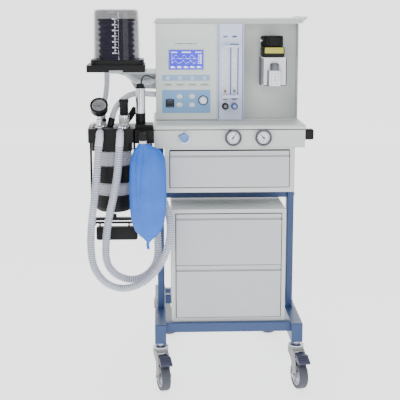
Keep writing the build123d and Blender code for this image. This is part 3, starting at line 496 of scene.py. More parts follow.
def flat_marks(name, origin, right, up, quads):
    """Printed marks on a face: each quad is four (across, up) corners in mm."""
    shape = bmesh.new()
    for quad in quads:
        shape.faces.new([shape.verts.new(origin + (right * a + up * b) * MM) for a, b in quad])
    mesh = bpy.data.meshes.new(name)
    shape.to_mesh(mesh)
    shape.free()
    return mesh


def ticks(radius_in, radius_out, wide, count, start, stop):
    """Radial marks between two angles, clockwise from straight up, in degrees."""
    quads = []
    for k in range(count):
        angle = math.radians(start + (stop - start) * k / (count - 1))
        out, side = Vector((math.sin(angle), math.cos(angle))), Vector((math.cos(angle), -math.sin(angle)))
        quads.append([tuple(out * radius_in - side * wide), tuple(out * radius_out - side * wide),
                      tuple(out * radius_out + side * wide), tuple(out * radius_in + side * wide)])
    return quads


def arc_band(radius_in, radius_out, start, stop, steps):
    """A printed band between two angles."""
    quads = []
    for k in range(steps):
        a, b = (math.radians(start + (stop - start) * n / steps) for n in (k, k + 1))
        quads.append([(r * math.sin(t), r * math.cos(t))
                      for r, t in ((radius_in, a), (radius_out, a), (radius_out, b), (radius_in, b))])
    return quads


glass_clear, _ = finish_of("gauge glass", "#F4F7FA", Roughness=0.03, Alpha=0.06)


def gauge(name, middle, normal, radius, deep, bezel, needle_node, dial=dial_enamel, ink=print_and_shadow_black):
    """A gauge whose back is at middle - deep along its normal, with dial, marks and glass."""
    normal = Vector(normal).normalized()
    right = Vector((1, 0, 0))
    up = normal.cross(right)
    back = middle - normal * deep * MM
    rim = radius - 6.8
    piece(name + "_case", turned(name + "_case", (
        (0, 0), (radius - 1.5, 0), (radius - 1.5, deep - 6), (radius, deep - 5), (radius, deep - 2),
        (radius - 1, deep - 0.4), (radius - 4.5, deep), (rim, deep - 1.5), (rim, deep - 7.8),
        (0, deep - 7.8)), back, normal, 72), bezel, "machine", "gauge", "gauge_cases")
    face = back + normal * (deep - 7.6) * MM
    piece(name + "_dial", turned(name + "_dial", ((0, 0), (rim, 0), (rim, 0.2), (0, 0.2)), face, normal, 48),
          dial, "machine", "gauge")
    print_at = face + normal * 0.35 * MM
    marks = ticks(rim - 6, rim - 2.4, 0.35, 11, -135, 135) + ticks(rim - 4, rim - 2.4, 0.2, 51, -135, 135)
    marks += arc_band(rim - 2.4, rim - 1.9, -135, 135, 40)
    marks += [[(-3.5, -12), (3.5, -12), (3.5, -11), (-3.5, -11)]]
    piece(name + "_marks", flat_marks(name + "_marks", print_at, right, up, marks), ink,
          "machine", "needle", sharp=0)
    dress(needle_black, needle_node, rounding=0)
    piece(name + "_boss", turned(name + "_boss", ((3, 0), (3, 2.2), (2.2, 2.8), (0, 2.8)),
                                 back + normal * (deep - 5.9) * MM, normal, 20),
          needle_black, needle_node, "needle")
    piece(name + "_glass", turned(name + "_glass", ((0, 0), (rim, 0), (rim, 1), (rim * 0.6, 1.5), (0, 1.7)),
                                  back + normal * (deep - 2.9) * MM, normal, 48),
          glass_clear, "machine", "clear")


gauge_bezel, _ = finish_of("brushed chrome bezel", "#55585F", Metallic=1.0, Roughness=0.34)
gauge("left_gauge", at(11, -14, GAUGE_Z), toward, 28.5, 14, gauge_bezel, "gauge_needle_left")
gauge("right_gauge", at(114.7, -14, GAUGE_Z), toward, 28.5, 14, gauge_bezel, "gauge_needle_right")
lean = math.radians(40)
airway_normal = Vector((0, -math.cos(lean), math.sin(lean)))
dial_grey, _ = finish_of("grey enamelled dial", "#5E6168", Roughness=0.3)
gauge("airway_gauge", at(-444.5, 12, 1005) + airway_normal * 10 * MM, airway_normal, 31, 28, black_plastic,
      "airway_needle", dial_grey, dial_enamel)
STEM = ((16, 0), (16, 5), (11, 7), (9, 9), (9, 20), (10.5, 21), (10.5, 30), (8, 32), (8, 39))
piece("airway_stem", turned("airway_stem", STEM, at(-444.5, 8, 932)), chrome, "machine", "gauge")

# ---------------------------------------------------------------- instrument tower
# A folded steel shell in the light grey coat, with the monitor tray on top in a slightly
# warmer coat, and a screwed cover with slotted vents at the back.
CONSOLE_BACK = 430.0
tray_coat = powder_coat("tray powder coat", "#C9CBCD", 0.4, 0.03)
dress(light_coat, "instrument_cabinet", rounding=0.6)
dress(tray_coat, "top_tray", rounding=1.2)
screws, vents = [], []
for x in (-226, -75, 75, 226):
    for z in (964, 1256):
        screws.append(turned("screw", ((4.2, 0), (4.2, 0.8), (3.2, 1.9), (1.2, 2.3), (1.2, 1.3), (0, 1.3)),
                             at(x, CONSOLE_BACK + 2, z), (0, 1, 0), 20))
piece("cover_screws", joined("cover_screws", screws), zinc, "machine", "gauge")
# the vent slots are not cut: black bars on the cover are painted shade for the openings
vent_slot_shade, _ = finish_of("vent slot painted shade", "#0B0C0E", Roughness=0.9)
for row in range(2):
    for k in range(14):
        x, z = 60 + 11 * k, 1120 + 62 * row
        vents.append(slab("vent", (x, CONSOLE_BACK + 1.7, z), (x + 4, CONSOLE_BACK + 2.15, z + 48), 0.1, 1))
piece("cover_vents", joined("cover_vents", vents), vent_slot_shade, "machine", "black_plastic")

# ---------------------------------------------------------------- ventilator panel
# A painted fascia with a pale printed polyester overlay, a blue liquid crystal display in a
# window, icons, a light blue field for the controls, two pairs of keys and a rotary encoder.
panel_white = moulded("painted fascia", "#D9DEDD", 0.42)
dress(panel_white, "ventilator_panel", rounding=0.6)


def printed(name, colour, roughness=0.5):
    """Printed polyester film: a matt ink with a very fine grain under a satin hard coat."""
    material, shader = finish_of(name, colour, Roughness=roughness)
    grain(material, shader, add_node(material, "ShaderNodeTexCoord"), 0.8, 1.0, 0.08, 0.1)
    return material


overlay_film = printed("pale overlay film", "#CFDCD5")
strip_film = printed("blue strip film", "#93AED6")
control_film = printed("control blue film", "#79A6D6")
grey_film = printed("grey label film", "#BFC7C6")
RIGHT, UP = Vector((1, 0, 0)), Vector((0, 0, 1))


def film(name, x0, x1, z0, z1, y, finish, thick=0.25, round_off=3.0):
    """A thin printed film on a face at y."""
    mesh = slab(name, (x0, y - thick, z0), (x1, y, z1), 0)
    shape = bmesh.new()
    shape.from_mesh(mesh)
    corners = [e for e in shape.edges if abs((e.verts[0].co - e.verts[1].co).normalized().y) > 0.9]
    bmesh.ops.bevel(shape, geom=corners, offset=round_off * MM, segments=4, profile=0.5, affect="EDGES")
    shape.to_mesh(mesh)
    shape.free()
    return piece(name, mesh, finish, "machine", "fascia")


film("overlay", -236, -57, 959, 1236, 154, overlay_film)
film("icon_strip", -230, -61, 1080, 1101, 153.75, strip_film, 0.15, 1.5)
film("control_field", -230, -59, 966, 1048, 153.75, control_film, 0.15, 3)
for k in range(4):
    film(f"label_field_{k}", -226 + 43 * k, -192 + 43 * k, 1061, 1071, 153.75, grey_film, 0.12, 1.5)

# the display: a window of blue backlit glass with white traces behind it
display_glass, display_shader = finish_of("backlit blue display", "#3538E0", Roughness=0.2)
display_shader.inputs["Emission Color"].default_value = linear("#3E40F0")
display_shader.inputs["Emission Strength"].default_value = 0.45
dress(display_glass, "display", rounding=0)
bezel_grey = moulded("display bezel", "#AEB4B8", 0.4)
DISPLAY = (-204.8, -84.4, 1120.0, 1187.8)
frame_bars = []
for low, high in (((DISPLAY[0] - 3, 151.8, DISPLAY[2] - 3), (DISPLAY[1] + 3, 153.7, DISPLAY[2])),
                  ((DISPLAY[0] - 3, 151.8, DISPLAY[3]), (DISPLAY[1] + 3, 153.7, DISPLAY[3] + 3)),
                  ((DISPLAY[0] - 3, 151.8, DISPLAY[2]), (DISPLAY[0], 153.7, DISPLAY[3])),
                  ((DISPLAY[1], 151.8, DISPLAY[2]), (DISPLAY[1] + 3, 153.7, DISPLAY[3]))):
    frame_bars.append(slab("bar", low, high, 0.4, 2))
piece("display_bezel", joined("display_bezel", frame_bars), bezel_grey, "machine", "fascia")
trace_white, trace_shader = finish_of("lit white segment", "#F4F6FF", Roughness=0.4)
trace_shader.inputs["Emission Color"].default_value = linear("#F0F2FF")
trace_shader.inputs["Emission Strength"].default_value = 0.8


def bar(x0, x1, z0, z1):
    """A printed rectangle."""
    return [(x0, z0), (x1, z0), (x1, z1), (x0, z1)]


def trace(x0, x1, floor, heights, thick=0.8):
    """A lit line through heights at even steps."""
    step = (x1 - x0) / (len(heights) - 1)
    quads = []
    for k, (a, b) in enumerate(zip(heights, heights[1:])):
        left, right = x0 + step * k, x0 + step * (k + 1)
        quads.append([(left, floor + a), (right, floor + b), (right, floor + b + thick),
                      (left, floor + a + thick)])
    return quads


lit = [bar(-198, -176, 1178, 1181), bar(-160, -128, 1178, 1181.5), bar(-112, -91, 1178, 1181)]
breath = [0, 0, 9, 11, 11.5, 2, 0, 0, 0, 8, 10.5, 11, 3, 0, 0, 0, 9, 11, 11, 2, 0, 0]
flow_curve = [0, 0, 7, 4, 1, -5, -2, 0, 0, 7, 4, 1, -5, -2, 0, 0, 7, 4, 1, -5, -2, 0]
lit += trace(-193, -110, 1158, breath) + trace(-193, -110, 1144, flow_curve)
lit += [bar(-195, -194.3, 1139, 1174), bar(-195, -108, 1157, 1157.4)]
for k in range(5):
    lit += [bar(-103, -99, 1168 - 7 * k, 1171 - 7 * k), bar(-97, -90, 1168 - 7 * k, 1171.4 - 7 * k)]
for k in range(5):
    lit += [bar(-199 + 23 * k, -187 + 23 * k, 1125, 1131), bar(-186 + 23 * k, -183 + 23 * k, 1125, 1128)]
piece("display_traces", flat_marks("display_traces", at(0, 152.85, 0), RIGHT, UP, lit), trace_white,
      "machine", "white_plastic", sharp=0)

# printed words are left as plain bars; the icons are plain shapes
ink = [bar(-184, -180, 1208, 1211), bar(-178, -156, 1208, 1211), bar(-153, -146, 1208, 1211),
       bar(-143, -123, 1208, 1211), bar(-120, -108, 1208, 1211)]
for k in range(4):
    left = -219 + 43 * k
    ink += [bar(left, left + 8, 1064.5, 1067.5), bar(left + 10, left + 20, 1064.5, 1067.5)]
ink += [bar(-209, -196, 1016.5, 1018.5)]
piece("panel_ink", flat_marks("panel_ink", at(0, 153.55, 0), RIGHT, UP, ink), print_grey, "machine", "needle",
      sharp=0)
icons = []
for k in range(4):
    middle = -209 + 43 * k
    icons += [bar(middle - 6, middle + 6, 1085, 1086), bar(middle - 6, middle - 5, 1086, 1095),
              bar(middle + 5, middle + 6, 1086, 1095), bar(middle - 6, middle + 6, 1095, 1096),
              [(middle - 3, 1087.5), (middle + 3, 1087.5), (middle + 1.2 * (k % 2), 1093),
               (middle - 0.6, 1093)]]
icon_white = printed("white ink", "#EEF2FA")
piece("panel_icons", flat_marks("panel_icons", at(0, 153.45, 0), RIGHT, UP, icons), icon_white, "machine",
      "white_plastic", sharp=0)

# keys: white moulded caps with a printed arrow each
key_white = moulded("white moulded key", "#E9ECF2", 0.35, 0.8, 0.06)
KEYS = {"key_menu_up": (-168.6, 1025.0, 1), "key_menu_down": (-168.6, 996.0, -1),
        "key_value_up": (-124.4, 1025.0, 1), "key_value_down": (-124.4, 995.0, -1)}
KEY_COLLAR = ((9.9, 0), (11.2, 0), (11.2, 0.6), (10.4, 1), (9.9, 0.6), (9.9, 0))
for key, (x, z, way) in KEYS.items():
    dress(key_white, key, rounding=0.5)
    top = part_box(key)[0].y - datum.y
    arrow = [[(x - 2.6, z - 1.2 * way), (x + 2.6, z - 1.2 * way), (x + 0.1, z + 2 * way),
              (x - 0.1, z + 2 * way)]]
    piece(key + "_arrow", flat_marks(key + "_arrow", at(0, top / MM - 0.15, 0), RIGHT, UP, arrow), print_grey,
          key, "needle", sharp=0)
    piece(key + "_collar", turned(key + "_collar", KEY_COLLAR, at(x, 153.6, z), toward, 48), grey_film,
          "machine", "fascia")

# power rocker in a black bezel
rocker_black = moulded("black rocker", "#1E2026", 0.3, 0.8, 0.05)
dress(rocker_black, "power_switch", rounding=0.5)
X_SW, Z_SW = -202.5, 1001.0
rim_bars = [slab("rim", (X_SW - 15, 152.2, Z_SW + 12), (X_SW + 15, 153.6, Z_SW + 14.5), 0.4, 2),
            slab("rim", (X_SW - 15, 152.2, Z_SW - 14.5), (X_SW + 15, 153.6, Z_SW - 12), 0.4, 2),
            slab("rim", (X_SW - 15, 152.2, Z_SW - 12), (X_SW - 12.4, 153.6, Z_SW + 12), 0.4, 2),
            slab("rim", (X_SW + 12.4, 152.2, Z_SW - 12), (X_SW + 15, 153.6, Z_SW + 12), 0.4, 2)]
piece("switch_rim", joined("switch_rim", rim_bars), black_plastic, "machine", "black_plastic")

# rotary encoder: a white knob with fine flutes, and a dark ring round it that is painted shadow
ENCODER = at(-84.7, 153, 1011)


def flutes(count, deep, beyond):
    """Grips round a knob: so many flutes, so deep in mm, wherever its radius is beyond a size."""
    def fluted(radius, height, angle):
        return radius - deep * (0.5 + 0.5 * math.cos(count * angle)) if radius > beyond else radius

    return fluted


ENCODER_CAP = ((3, -9), (3, -0.5), (13.5, -0.2), (13.5, 9), (12.7, 12.5), (11.5, 14), (9.5, 14.8), (6, 14.6),
               (0, 14.2))
piece("encoder_cap", turned("encoder_cap", ENCODER_CAP, ENCODER, toward, 144, flutes(36, 0.5, 12.6)),
      key_white, "encoder_knob", "white_plastic", "encoder_knob")
piece("encoder_mark", turned("encoder_mark", ((0, 0), (1.3, 0), (1.2, 0.5), (0, 0.6)),
                             ENCODER + Vector((0.006, -0.0144, 0.004)), toward, 16), print_grey,
      "encoder_knob", "needle")
# a black ring on the fascia round the knob: painted shadow
piece("encoder_ring", turned("encoder_ring", ((14.5, 0), (17.5, 0), (17.5, 0.5), (14.5, 0.5), (14.5, 0)),
                             at(-84.7, 153.7, 1011), toward, 64), print_and_shadow_black, "machine", "black_plastic")

# ---------------------------------------------------------------- flowmeters
# A pale blue fascia with two graduated glass tubes between anodised blocks, a bobbin in each
# and a needle valve with a fluted knob below; the air tube stands in a printed blue frame.
flow_paint = moulded("pale blue fascia", "#CFD6EE", 0.4)
dress(flow_paint, "flowmeter_panel", rounding=0.6)
tube_glass, _ = finish_of("borosilicate glass", "#EEF4FA", Roughness=0.02, Alpha=0.1)
dress(tube_glass, "flow_tubes", rounding=0)
print_blue = printed("blue ink", "#1C4A9A")
TUBES = {"oxygen": -7.5, "air": 25.0}
frame_marks = [bar(10.5, 14.2, 1022, 1206), bar(35.8, 39.5, 1022, 1206), bar(10.5, 39.5, 1206, 1209),
               bar(10.5, 39.5, 1016, 1022), bar(-31, -28.5, 945, 1276), bar(52.5, 55, 945, 1276)]
frame_marks += [bar(17, 33, 1231, 1237), bar(17, 33, 1013, 1016.5)]
piece("flow_frame", flat_marks("flow_frame", at(0, 147.8, 0), RIGHT, UP, frame_marks), print_blue,
      "machine", "flow_fascia", sharp=0)
scale_marks = []
for x in TUBES.values():
    for k in range(31):
        long = 3.2 if k % 5 == 0 else 1.8
        z = 1056 + 4.4 * k
        scale_marks += [bar(x + 4.5, x + 4.5 + long, z, z + 0.7)]
        if k % 5 == 0:
            scale_marks += [bar(x - 8, x - 5.5, z - 0.8, z + 1.4)]
piece("flow_scales", flat_marks("flow_scales", at(0, 129.7, 0), RIGHT, UP, scale_marks), print_and_shadow_black,
      "machine", "needle", sharp=0)
labels = [bar(-15, 0, 1231, 1237), bar(-15, 0, 1013, 1016.5)]
piece("flow_labels", flat_marks("flow_labels", at(0, 147.8, 0), RIGHT, UP, labels), print_grey, "machine",
      "needle", sharp=0)
white_back = printed("white tube backing", "#F2F4FB")
for gas, x in TUBES.items():
    film(f"tube_backing_{gas}", x - 9.5, x + 9.5, 1033, 1195, 147.9, white_back, 0.2, 1)
float_red = moulded("red bobbin", "#7E0A0A", 0.3)
float_dark = moulded("dark bobbin", "#0C0C10", 0.3)
knob_blue = moulded("blue anodised knob", "#2E4C82", 0.35)
FLOW_KNOB = ((4, -9), (4, -0.5), (9.5, 0), (9.5, 5), (12, 6.5), (12, 22), (11.2, 24.6), (9.6, 25.8),
             (7, 25.6), (0, 25.2))
for gas, bobbin, knob_finish in (("oxygen", float_red, black_plastic), ("air", float_dark, knob_blue)):
    dress(bobbin, "float_" + gas, rounding=0.3)
    knob_at = at(TUBES[gas], 146, 992)
    piece(f"flow_knob_{gas}_cap", turned(f"flow_knob_{gas}_cap", FLOW_KNOB, knob_at, toward, 96,
                                         flutes(24, 0.7, 11)), knob_finish,
          "flow_knob_" + gas, "black_plastic", "flow_knob_" + gas)
    piece(f"flow_knob_{gas}_disc", turned(f"flow_knob_{gas}_disc", ((0, 0), (6.6, 0), (6.3, 0.5), (0, 0.6)),
                                          knob_at + Vector((0, -0.0254, 0)), toward, 32),
          print_grey if gas == "oxygen" else strip_film, "flow_knob_" + gas, "gauge")

# ---------------------------------------------------------------- vaporizer
# A white enamelled casting with a silver anodised side, a black moulded collar with a yellow
# window, a fluted black dial, and a filler block with a silver cap in front.
white_enamel = moulded("white enamel", "#EDEEF6", 0.25, 2.0, 0.05)
silver, _ = finish_of("silver anodised aluminium", "#6E7178", Metallic=1.0, Roughness=0.42)
piece("vaporizer_casting", slab("vaporizer_casting", (118, 121, 1063), (206, 205, 1163), 4, 4), white_enamel,
      "machine", "vaporizer", "vaporizer_body")
piece("vaporizer_back", slab("vaporizer_back", (125, 205, 1080), (198, 211, 1150), 1.5), white_enamel,
      "machine", "vaporizer", "vaporizer_body")
piece("vaporizer_side", slab("vaporizer_side", (117, 126, 1064), (119.5, 202, 1162), 1), silver, "machine",
      "gauge")
piece("vaporizer_groove", slab("vaporizer_groove", (117.5, 120.4, 1068), (126, 124, 1160), 0.6), silver,
      "machine", "gauge")
# dark grey strips down the casting's right edge, along its foot and either side of the filler block: painted
# shade where the edges turn away and the block meets the casting
edge_shade_bars = [slab("edge", (203.6, 120.3, 1065), (206.6, 123.5, 1161), 0.5, 2),
             slab("edge", (138.6, 112, 1066), (142.6, 121.5, 1118), 0.6, 2),
             slab("edge", (182, 112, 1066), (185.6, 121.5, 1118), 0.6, 2),
             slab("edge", (124, 120.2, 1063.4), (204, 123, 1066.2), 0.5, 2)]
piece("vaporizer_edge_shade", joined("vaporizer_edge_shade", edge_shade_bars), moulded("dark grey painted edge shade", "#24262C", 0.4),
      "machine", "vaporizer")
piece("vaporizer_collar", slab("vaporizer_collar", (121, 121, 1163), (199, 205, 1200), 7, 5), black_plastic,
      "machine", "black_plastic", "vaporizer_body")
piece("vaporizer_window", slab("vaporizer_window", (129, 119.8, 1177), (195, 122.5, 1197), 1.2),
      printed("olive window film", "#B3AE3E", 0.35), "machine", "fascia")
piece("filler_block", slab("filler_block", (142, 88, 1065), (182.5, 122, 1119), 4, 4), white_enamel,
      "machine", "vaporizer", "vaporizer_body")
mark = [bar(159, 165.5, 1083, 1085), bar(161.4, 163.1, 1085, 1099), bar(159, 165.5, 1099, 1101)]
mark += [bar(150, 151, 1074, 1110), bar(173.5, 174.5, 1074, 1110), bar(151, 173.5, 1109, 1110),
         bar(151, 173.5, 1074, 1075)]
piece("filler_mark", flat_marks("filler_mark", at(0, 87.8, 0), RIGHT, UP, mark), print_grey, "machine",
      "needle", sharp=0)


def dial_flutes(radius, height, angle):
    """Broad grips round the dial."""
    return radius - 1.6 * (0.5 + 0.5 * math.cos(18 * angle)) ** 2 if radius > 37 else radius


DIAL_CAP = ((6, -9), (6, 0), (38, 0.2), (39.5, 1.2), (39.5, 31), (38.5, 34.5), (36, 36), (14, 36), (12, 34.8),
            (0, 34.6))
piece("dial_cap", turned("dial_cap", DIAL_CAP, at(158, 163, 1200.5), (0, 0, 1), 144, dial_flutes),
      black_plastic, "vaporizer_dial", "black_plastic", "vaporizer_dial")
piece("dial_pin", turned("dial_pin", ((0, 0), (3.4, 0), (3.4, 5), (2.6, 6), (0, 6.2)), at(121, 150, 1220),
                         (-0.94, -0.34, 0), 24), key_white, "vaporizer_dial", "white_plastic")
FILLER_CAP = ((0, 0), (14.4, 0), (15.5, 1), (15.5, 20), (14.4, 23), (12, 24.6), (6, 25), (0, 25))
piece("filler_cap_knurled", turned("filler_cap_knurled", FILLER_CAP, at(162, 104.5, 1119.3), (0, 0, 1), 160,
                                   flutes(40, 0.5, 15)), silver, "filler_cap", "filler_cap",
      "vaporizer_filler_cap")

# ---------------------------------------------------------------- bellows
# A black moulded base on an enamelled steel arm, a black rubber concertina under a round plate,
# and a smoked acrylic dome with a printed volume scale.
arm_paint = powder_coat("arm grey enamel", "#B9BFC2", 0.38, 0.04)
base_black = moulded("black moulded base", "#060709", 0.42, shine=0.25)
dress(arm_paint, "bellows_arm", rounding=0.8)
dress(base_black, "bellows_base", rounding=1.5)
B_X, B_Y = -386, 111
BELLOWS_LOW, BELLOWS_HIGH, FOLDS = 1159.0, 1288.0, 7
rubber, rubber_shader = finish_of("black folded rubber", "#16161C", Roughness=0.45)
grain(rubber, rubber_shader, add_node(rubber, "ShaderNodeTexCoord"), 1.2, 2.0, 0.2, 0.2)
tall = (BELLOWS_HIGH - BELLOWS_LOW) / FOLDS
folds = [(0, 0.2)]
for k in range(FOLDS):
    low = 0.2 + tall * k
    folds += [(55, low), (57.5, low + 0.12 * tall), (62.8, low + 0.4 * tall), (64, low + 0.5 * tall),
              (62.8, low + 0.6 * tall), (57.5, low + 0.88 * tall)]
folds += [(55, 0.2 + tall * FOLDS - 0.6), (0, 0.2 + tall * FOLDS - 0.6)]
concertina = piece("bellows_folds", turned("bellows_folds", folds, at(B_X, B_Y, BELLOWS_LOW), (0, 0, 1), 96),
                   rubber, "machine", "bellows_rubber", "bellows", sharp=60)
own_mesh(concertina)
BELLOWS_TOP = ((0, 0), (62, 0), (64, 1.5), (64, 6), (62, 8), (40, 8.6), (36, 7.4), (0, 7.4))
piece("bellows_top", turned("bellows_top", BELLOWS_TOP, at(B_X, B_Y, BELLOWS_HIGH + 0.2), (0, 0, 1), 96),
      black_plastic, "bellows_plate", "black_plastic", "bellows_plate")
smoked, _ = finish_of("smoked acrylic", "#2A2838", Roughness=0.05, Alpha=0.4)
smoked.node_tree.nodes["Principled BSDF"].inputs["Specular IOR Level"].default_value = 0.6
dress(smoked, "bellows_dome", rounding=0)


def on_dome(angle, height):
    """A place on the dome's outside: an angle from the front in degrees, and a height."""
    radius = 80.3 - (height - BELLOWS_LOW) * math.tan(math.radians(1))
    turn = math.radians(angle)
    return at(B_X + radius * math.sin(turn), B_Y - radius * math.cos(turn), height)


def dome_mark(from_angle, to_angle, low, high):
    """A printed mark that follows the dome, as (across, up) corners in metres."""
    cuts = max(1, round((to_angle - from_angle) / 4))
    edges = [from_angle + (to_angle - from_angle) * k / cuts for k in range(cuts + 1)]
    return [(on_dome(a, low), on_dome(b, low), on_dome(b, high), on_dome(a, high))
            for a, b in zip(edges, edges[1:])]


scale = dome_mark(-2.0, -1.2, 1180, 1300)
for k in range(13):
    wide = 7 if k % 2 == 0 else 4
    scale += dome_mark(-2, -2 + wide, 1182 + 9.5 * k, 1183.2 + 9.5 * k)
    if k % 2 == 0:
        scale += dome_mark(-8, -4, 1181 + 9.5 * k, 1184.4 + 9.5 * k)
marks_shape = bmesh.new()
for quad in scale:
    marks_shape.faces.new([marks_shape.verts.new(corner) for corner in quad])
scale_mesh = bpy.data.meshes.new("dome_scale")
marks_shape.to_mesh(scale_mesh)
marks_shape.free()
piece("dome_scale", scale_mesh, icon_white, "machine", "white_plastic", sharp=0)

# ---------------------------------------------------------------- side brackets and pole
# Black brackets carry the absorber and the bag arm with its chromed spigot. A short chromed
# pole stands in a moulded sleeve and has a dark cap.
dress(base_black, "side_brackets", rounding=1.2)
POLE_X, POLE_Y = -305.5, 70
POLE_SLEEVE = ((16.5, 0), (17.5, 1), (17.5, 34), (16.6, 35), (16.5, 35), (16.5, 0))
POLE_TUBE = ((16.6, 0), (16.6, 86), (16.5, 86), (16.5, 0), (16.6, 0))
POLE_CAP = ((13.2, 0), (17.4, -0.5), (17.4, 3), (13.6, 4), (13.6, 11), (11, 15), (0, 15.6))
piece("pole_sleeve", turned("pole_sleeve", POLE_SLEEVE, at(POLE_X, POLE_Y, 941)), base_black, "machine",
      "black_plastic")
piece("pole_tube", turned("pole_tube", POLE_TUBE, at(POLE_X, POLE_Y, 976)), chrome, "machine",
      "fitting_metal")
piece("pole_cap", turned("pole_cap", POLE_CAP, at(POLE_X, POLE_Y, 1062)), black_plastic, "machine",
      "black_plastic")
piece("bag_collar", turned("bag_collar", ((9.2, 0), (14, 0), (14, 9), (12, 11), (9.2, 11), (9.2, 0)),
                           at(-297, -62, 888)), chrome, "machine", "fitting_metal")

# ---------------------------------------------------------------- absorber head
# A black moulded valve block with pale elbow cuffs, clear valve domes in chromed rings, a
# fluted black relief valve on a labelled body, and a black selector.
absorber_black = moulded("black absorber plastic", "#060708", 0.4, shine=0.25)
dress(absorber_black, "absorber_head", rounding=1.0)
for name, x, route_y in (("left", -441, -48), ("right", -373, -48)):
    bend = [at(x, -19, 919)] + [at(x, -36 - 12 * math.sin(t), 907 + 12 * math.cos(t))
                                for t in (math.pi / 16 * k for k in range(9))] + [at(x, route_y, 903)]
    piece(f"elbow_cuff_{name}", tube_mesh(f"elbow_cuff_{name}", bend, lambda d: 12.6 * MM, 32),
          hose_polymer, "machine", "hose_plastic", sharp=50)
HEAD_TOP = 932
valve_clear, _ = finish_of("clear valve dome", "#D8DCE2", Roughness=0.05, Alpha=0.35)
dress(valve_clear, "valve_domes", rounding=0)
for name, x, y, r in (("left", -446, 46, 24), ("right", -369, 8, 24.5)):
    seat = ((r + 0.3, 0), (r + 4, 0), (r + 4, 6), (r + 2.5, 8), (r + 0.3, 8), (r + 0.3, 0))
    piece(f"valve_seat_{name}", turned(f"valve_seat_{name}", seat, at(x, y, HEAD_TOP)), chrome, "machine",
          "fitting_metal")
    piece(f"valve_disc_{name}", turned(f"valve_disc_{name}", ((0, 0), (15, 0), (15, 1.2), (0, 1.2)),
                                       at(x, y, HEAD_TOP + 2)), float_dark, "machine", "white_plastic")

RELIEF_KNOB = ((4, 0), (13.5, 0), (15, 1.5), (15, 40), (17, 43.5), (17, 51), (15.4, 53.4), (0, 54))
RELIEF_BODY = ((16, 0), (19, 0), (19, 6), (17.7, 8), (17.7, 30), (18.6, 31), (18.6, 38), (14, 39.4), (14, 0),
               (16, 0))
RELIEF_LABEL = ((17.8, 11), (17.9, 11), (17.9, 27), (17.8, 27), (17.8, 11))
piece("relief_knob", turned("relief_knob", RELIEF_KNOB, at(-362, 58, HEAD_TOP + 39.5), (0, 0, 1), 128,
                            flutes(16, 1.1, 14.5)), black_plastic, "apl_knob", "black_plastic", "apl_knob")
piece("relief_body", turned("relief_body", RELIEF_BODY, at(-362, 58, HEAD_TOP)), chrome, "machine",
      "fitting_metal")
piece("relief_label", turned("relief_label", RELIEF_LABEL, at(-362, 58, HEAD_TOP)), grey_film, "machine",
      "white_plastic")
SELECTOR_AXIS = Vector((0.545, 0, 0.838)).normalized()
SELECTOR_KNOB = ((3, 0), (10, 0), (11, 1), (11, 41), (9, 45), (7, 46), (0, 46))
piece("selector_knob", turned("selector_knob", SELECTOR_KNOB,
                              at(-361, 104, HEAD_TOP) + SELECTOR_AXIS * 24.3 * MM, SELECTOR_AXIS, 96,
                              flutes(12, 0.7, 10.5)), black_plastic, "bag_vent_selector", "black_plastic",
      "bag_vent_selector")

# ---------------------------------------------------------------- canisters
# Two clear jars of pale granules between a black ring and a rounded moulded base.
granule_bed, granule_shader = finish_of("absorbent granules", "#B9B6B8", Roughness=0.9)
granule_place = add_node(granule_bed, "ShaderNodeTexCoord")
# crushed grains some 3 mm across
grains = add_node(granule_bed, "ShaderNodeTexVoronoi", [("Vector", granule_place.outputs["Object"])],
                  Scale=1 / (3 * MM))
grain_tint = add_node(granule_bed, "ShaderNodeMixRGB", [("Fac", grains.outputs["Distance"])],
                      Color1=linear("#C9C6CA"), Color2=linear("#8F8B92"))
granule_bed.node_tree.links.new(grain_tint.outputs["Color"], granule_shader.inputs["Base Color"])
grain_bump = add_node(granule_bed, "ShaderNodeBump", [("Height", grains.outputs["Distance"])],
                      Strength=0.7, Distance=0.001)
granule_bed.node_tree.links.new(grain_bump.outputs["Normal"], granule_shader.inputs["Normal"])
jar_clear, _ = finish_of("clear jar plastic", "#C9CCD6", Roughness=0.06, Alpha=0.28)
dress(jar_clear, "canisters", rounding=0)
dress(black_plastic, "canister_carrier", rounding=2.0)
for name, low, high in (("upper", 802.2, 848), ("lower", 697.2, 735)):
    bed = ((0, 0), (62.4, 0), (62.4, high - low - 1), (60, high - low), (0, high - low))
    piece(f"granules_{name}", turned(f"granules_{name}", bed, at(-401, 61, low), (0, 0, 1), 96),
          granule_bed, "canister_lift", "white_plastic")
seals = [turned("seal", ((66.2, -1.5), (68.4, -1.5), (68.4, 1.5), (66.2, 1.5), (66.2, -1.5)), at(-401, 61, z))
         for z in (696, 853)]
piece("jar_seals", joined("jar_seals", seals), black_plastic, "canister_lift", "black_plastic")

# ---------------------------------------------------------------- lift lever
# A bent black bail with a dark moulded handle, turning under the yoke.
dress(black_plastic, "lift_lever", rounding=0.4)
piece("lift_grip", slab("lift_grip", (-465.6, 50.4, 529.5), (-319.4, 71.6, 577.4), 8, 6), black_plastic,
      "lift_lever", "black_plastic")

# ---------------------------------------------------------------- Y-piece
# A clear grey moulded Y with a swivel port, pushed up on its parking peg.
y_plastic = moulded("pale Y-piece plastic", "#D4D8E2", 0.3)
dress(y_plastic, "y_piece", rounding=1.5)
piece("y_ring", turned("y_ring", ((11.2, 0), (13.2, 0), (13.2, 4), (11.2, 4), (11.2, 0)), at(-277, 36, 868)),
      blue_cap, "machine", "blue_plastic")

# ---------------------------------------------------------------- reservoir bag
# A two litre bag of blue rubber, dipped in one skin: slack folds run down it from the neck
# and meet again at the tail, and a bead of rubber follows each side.
BAG_Y, BAG_LOW, BAG_HIGH = -62.0, 548.0, 888.0
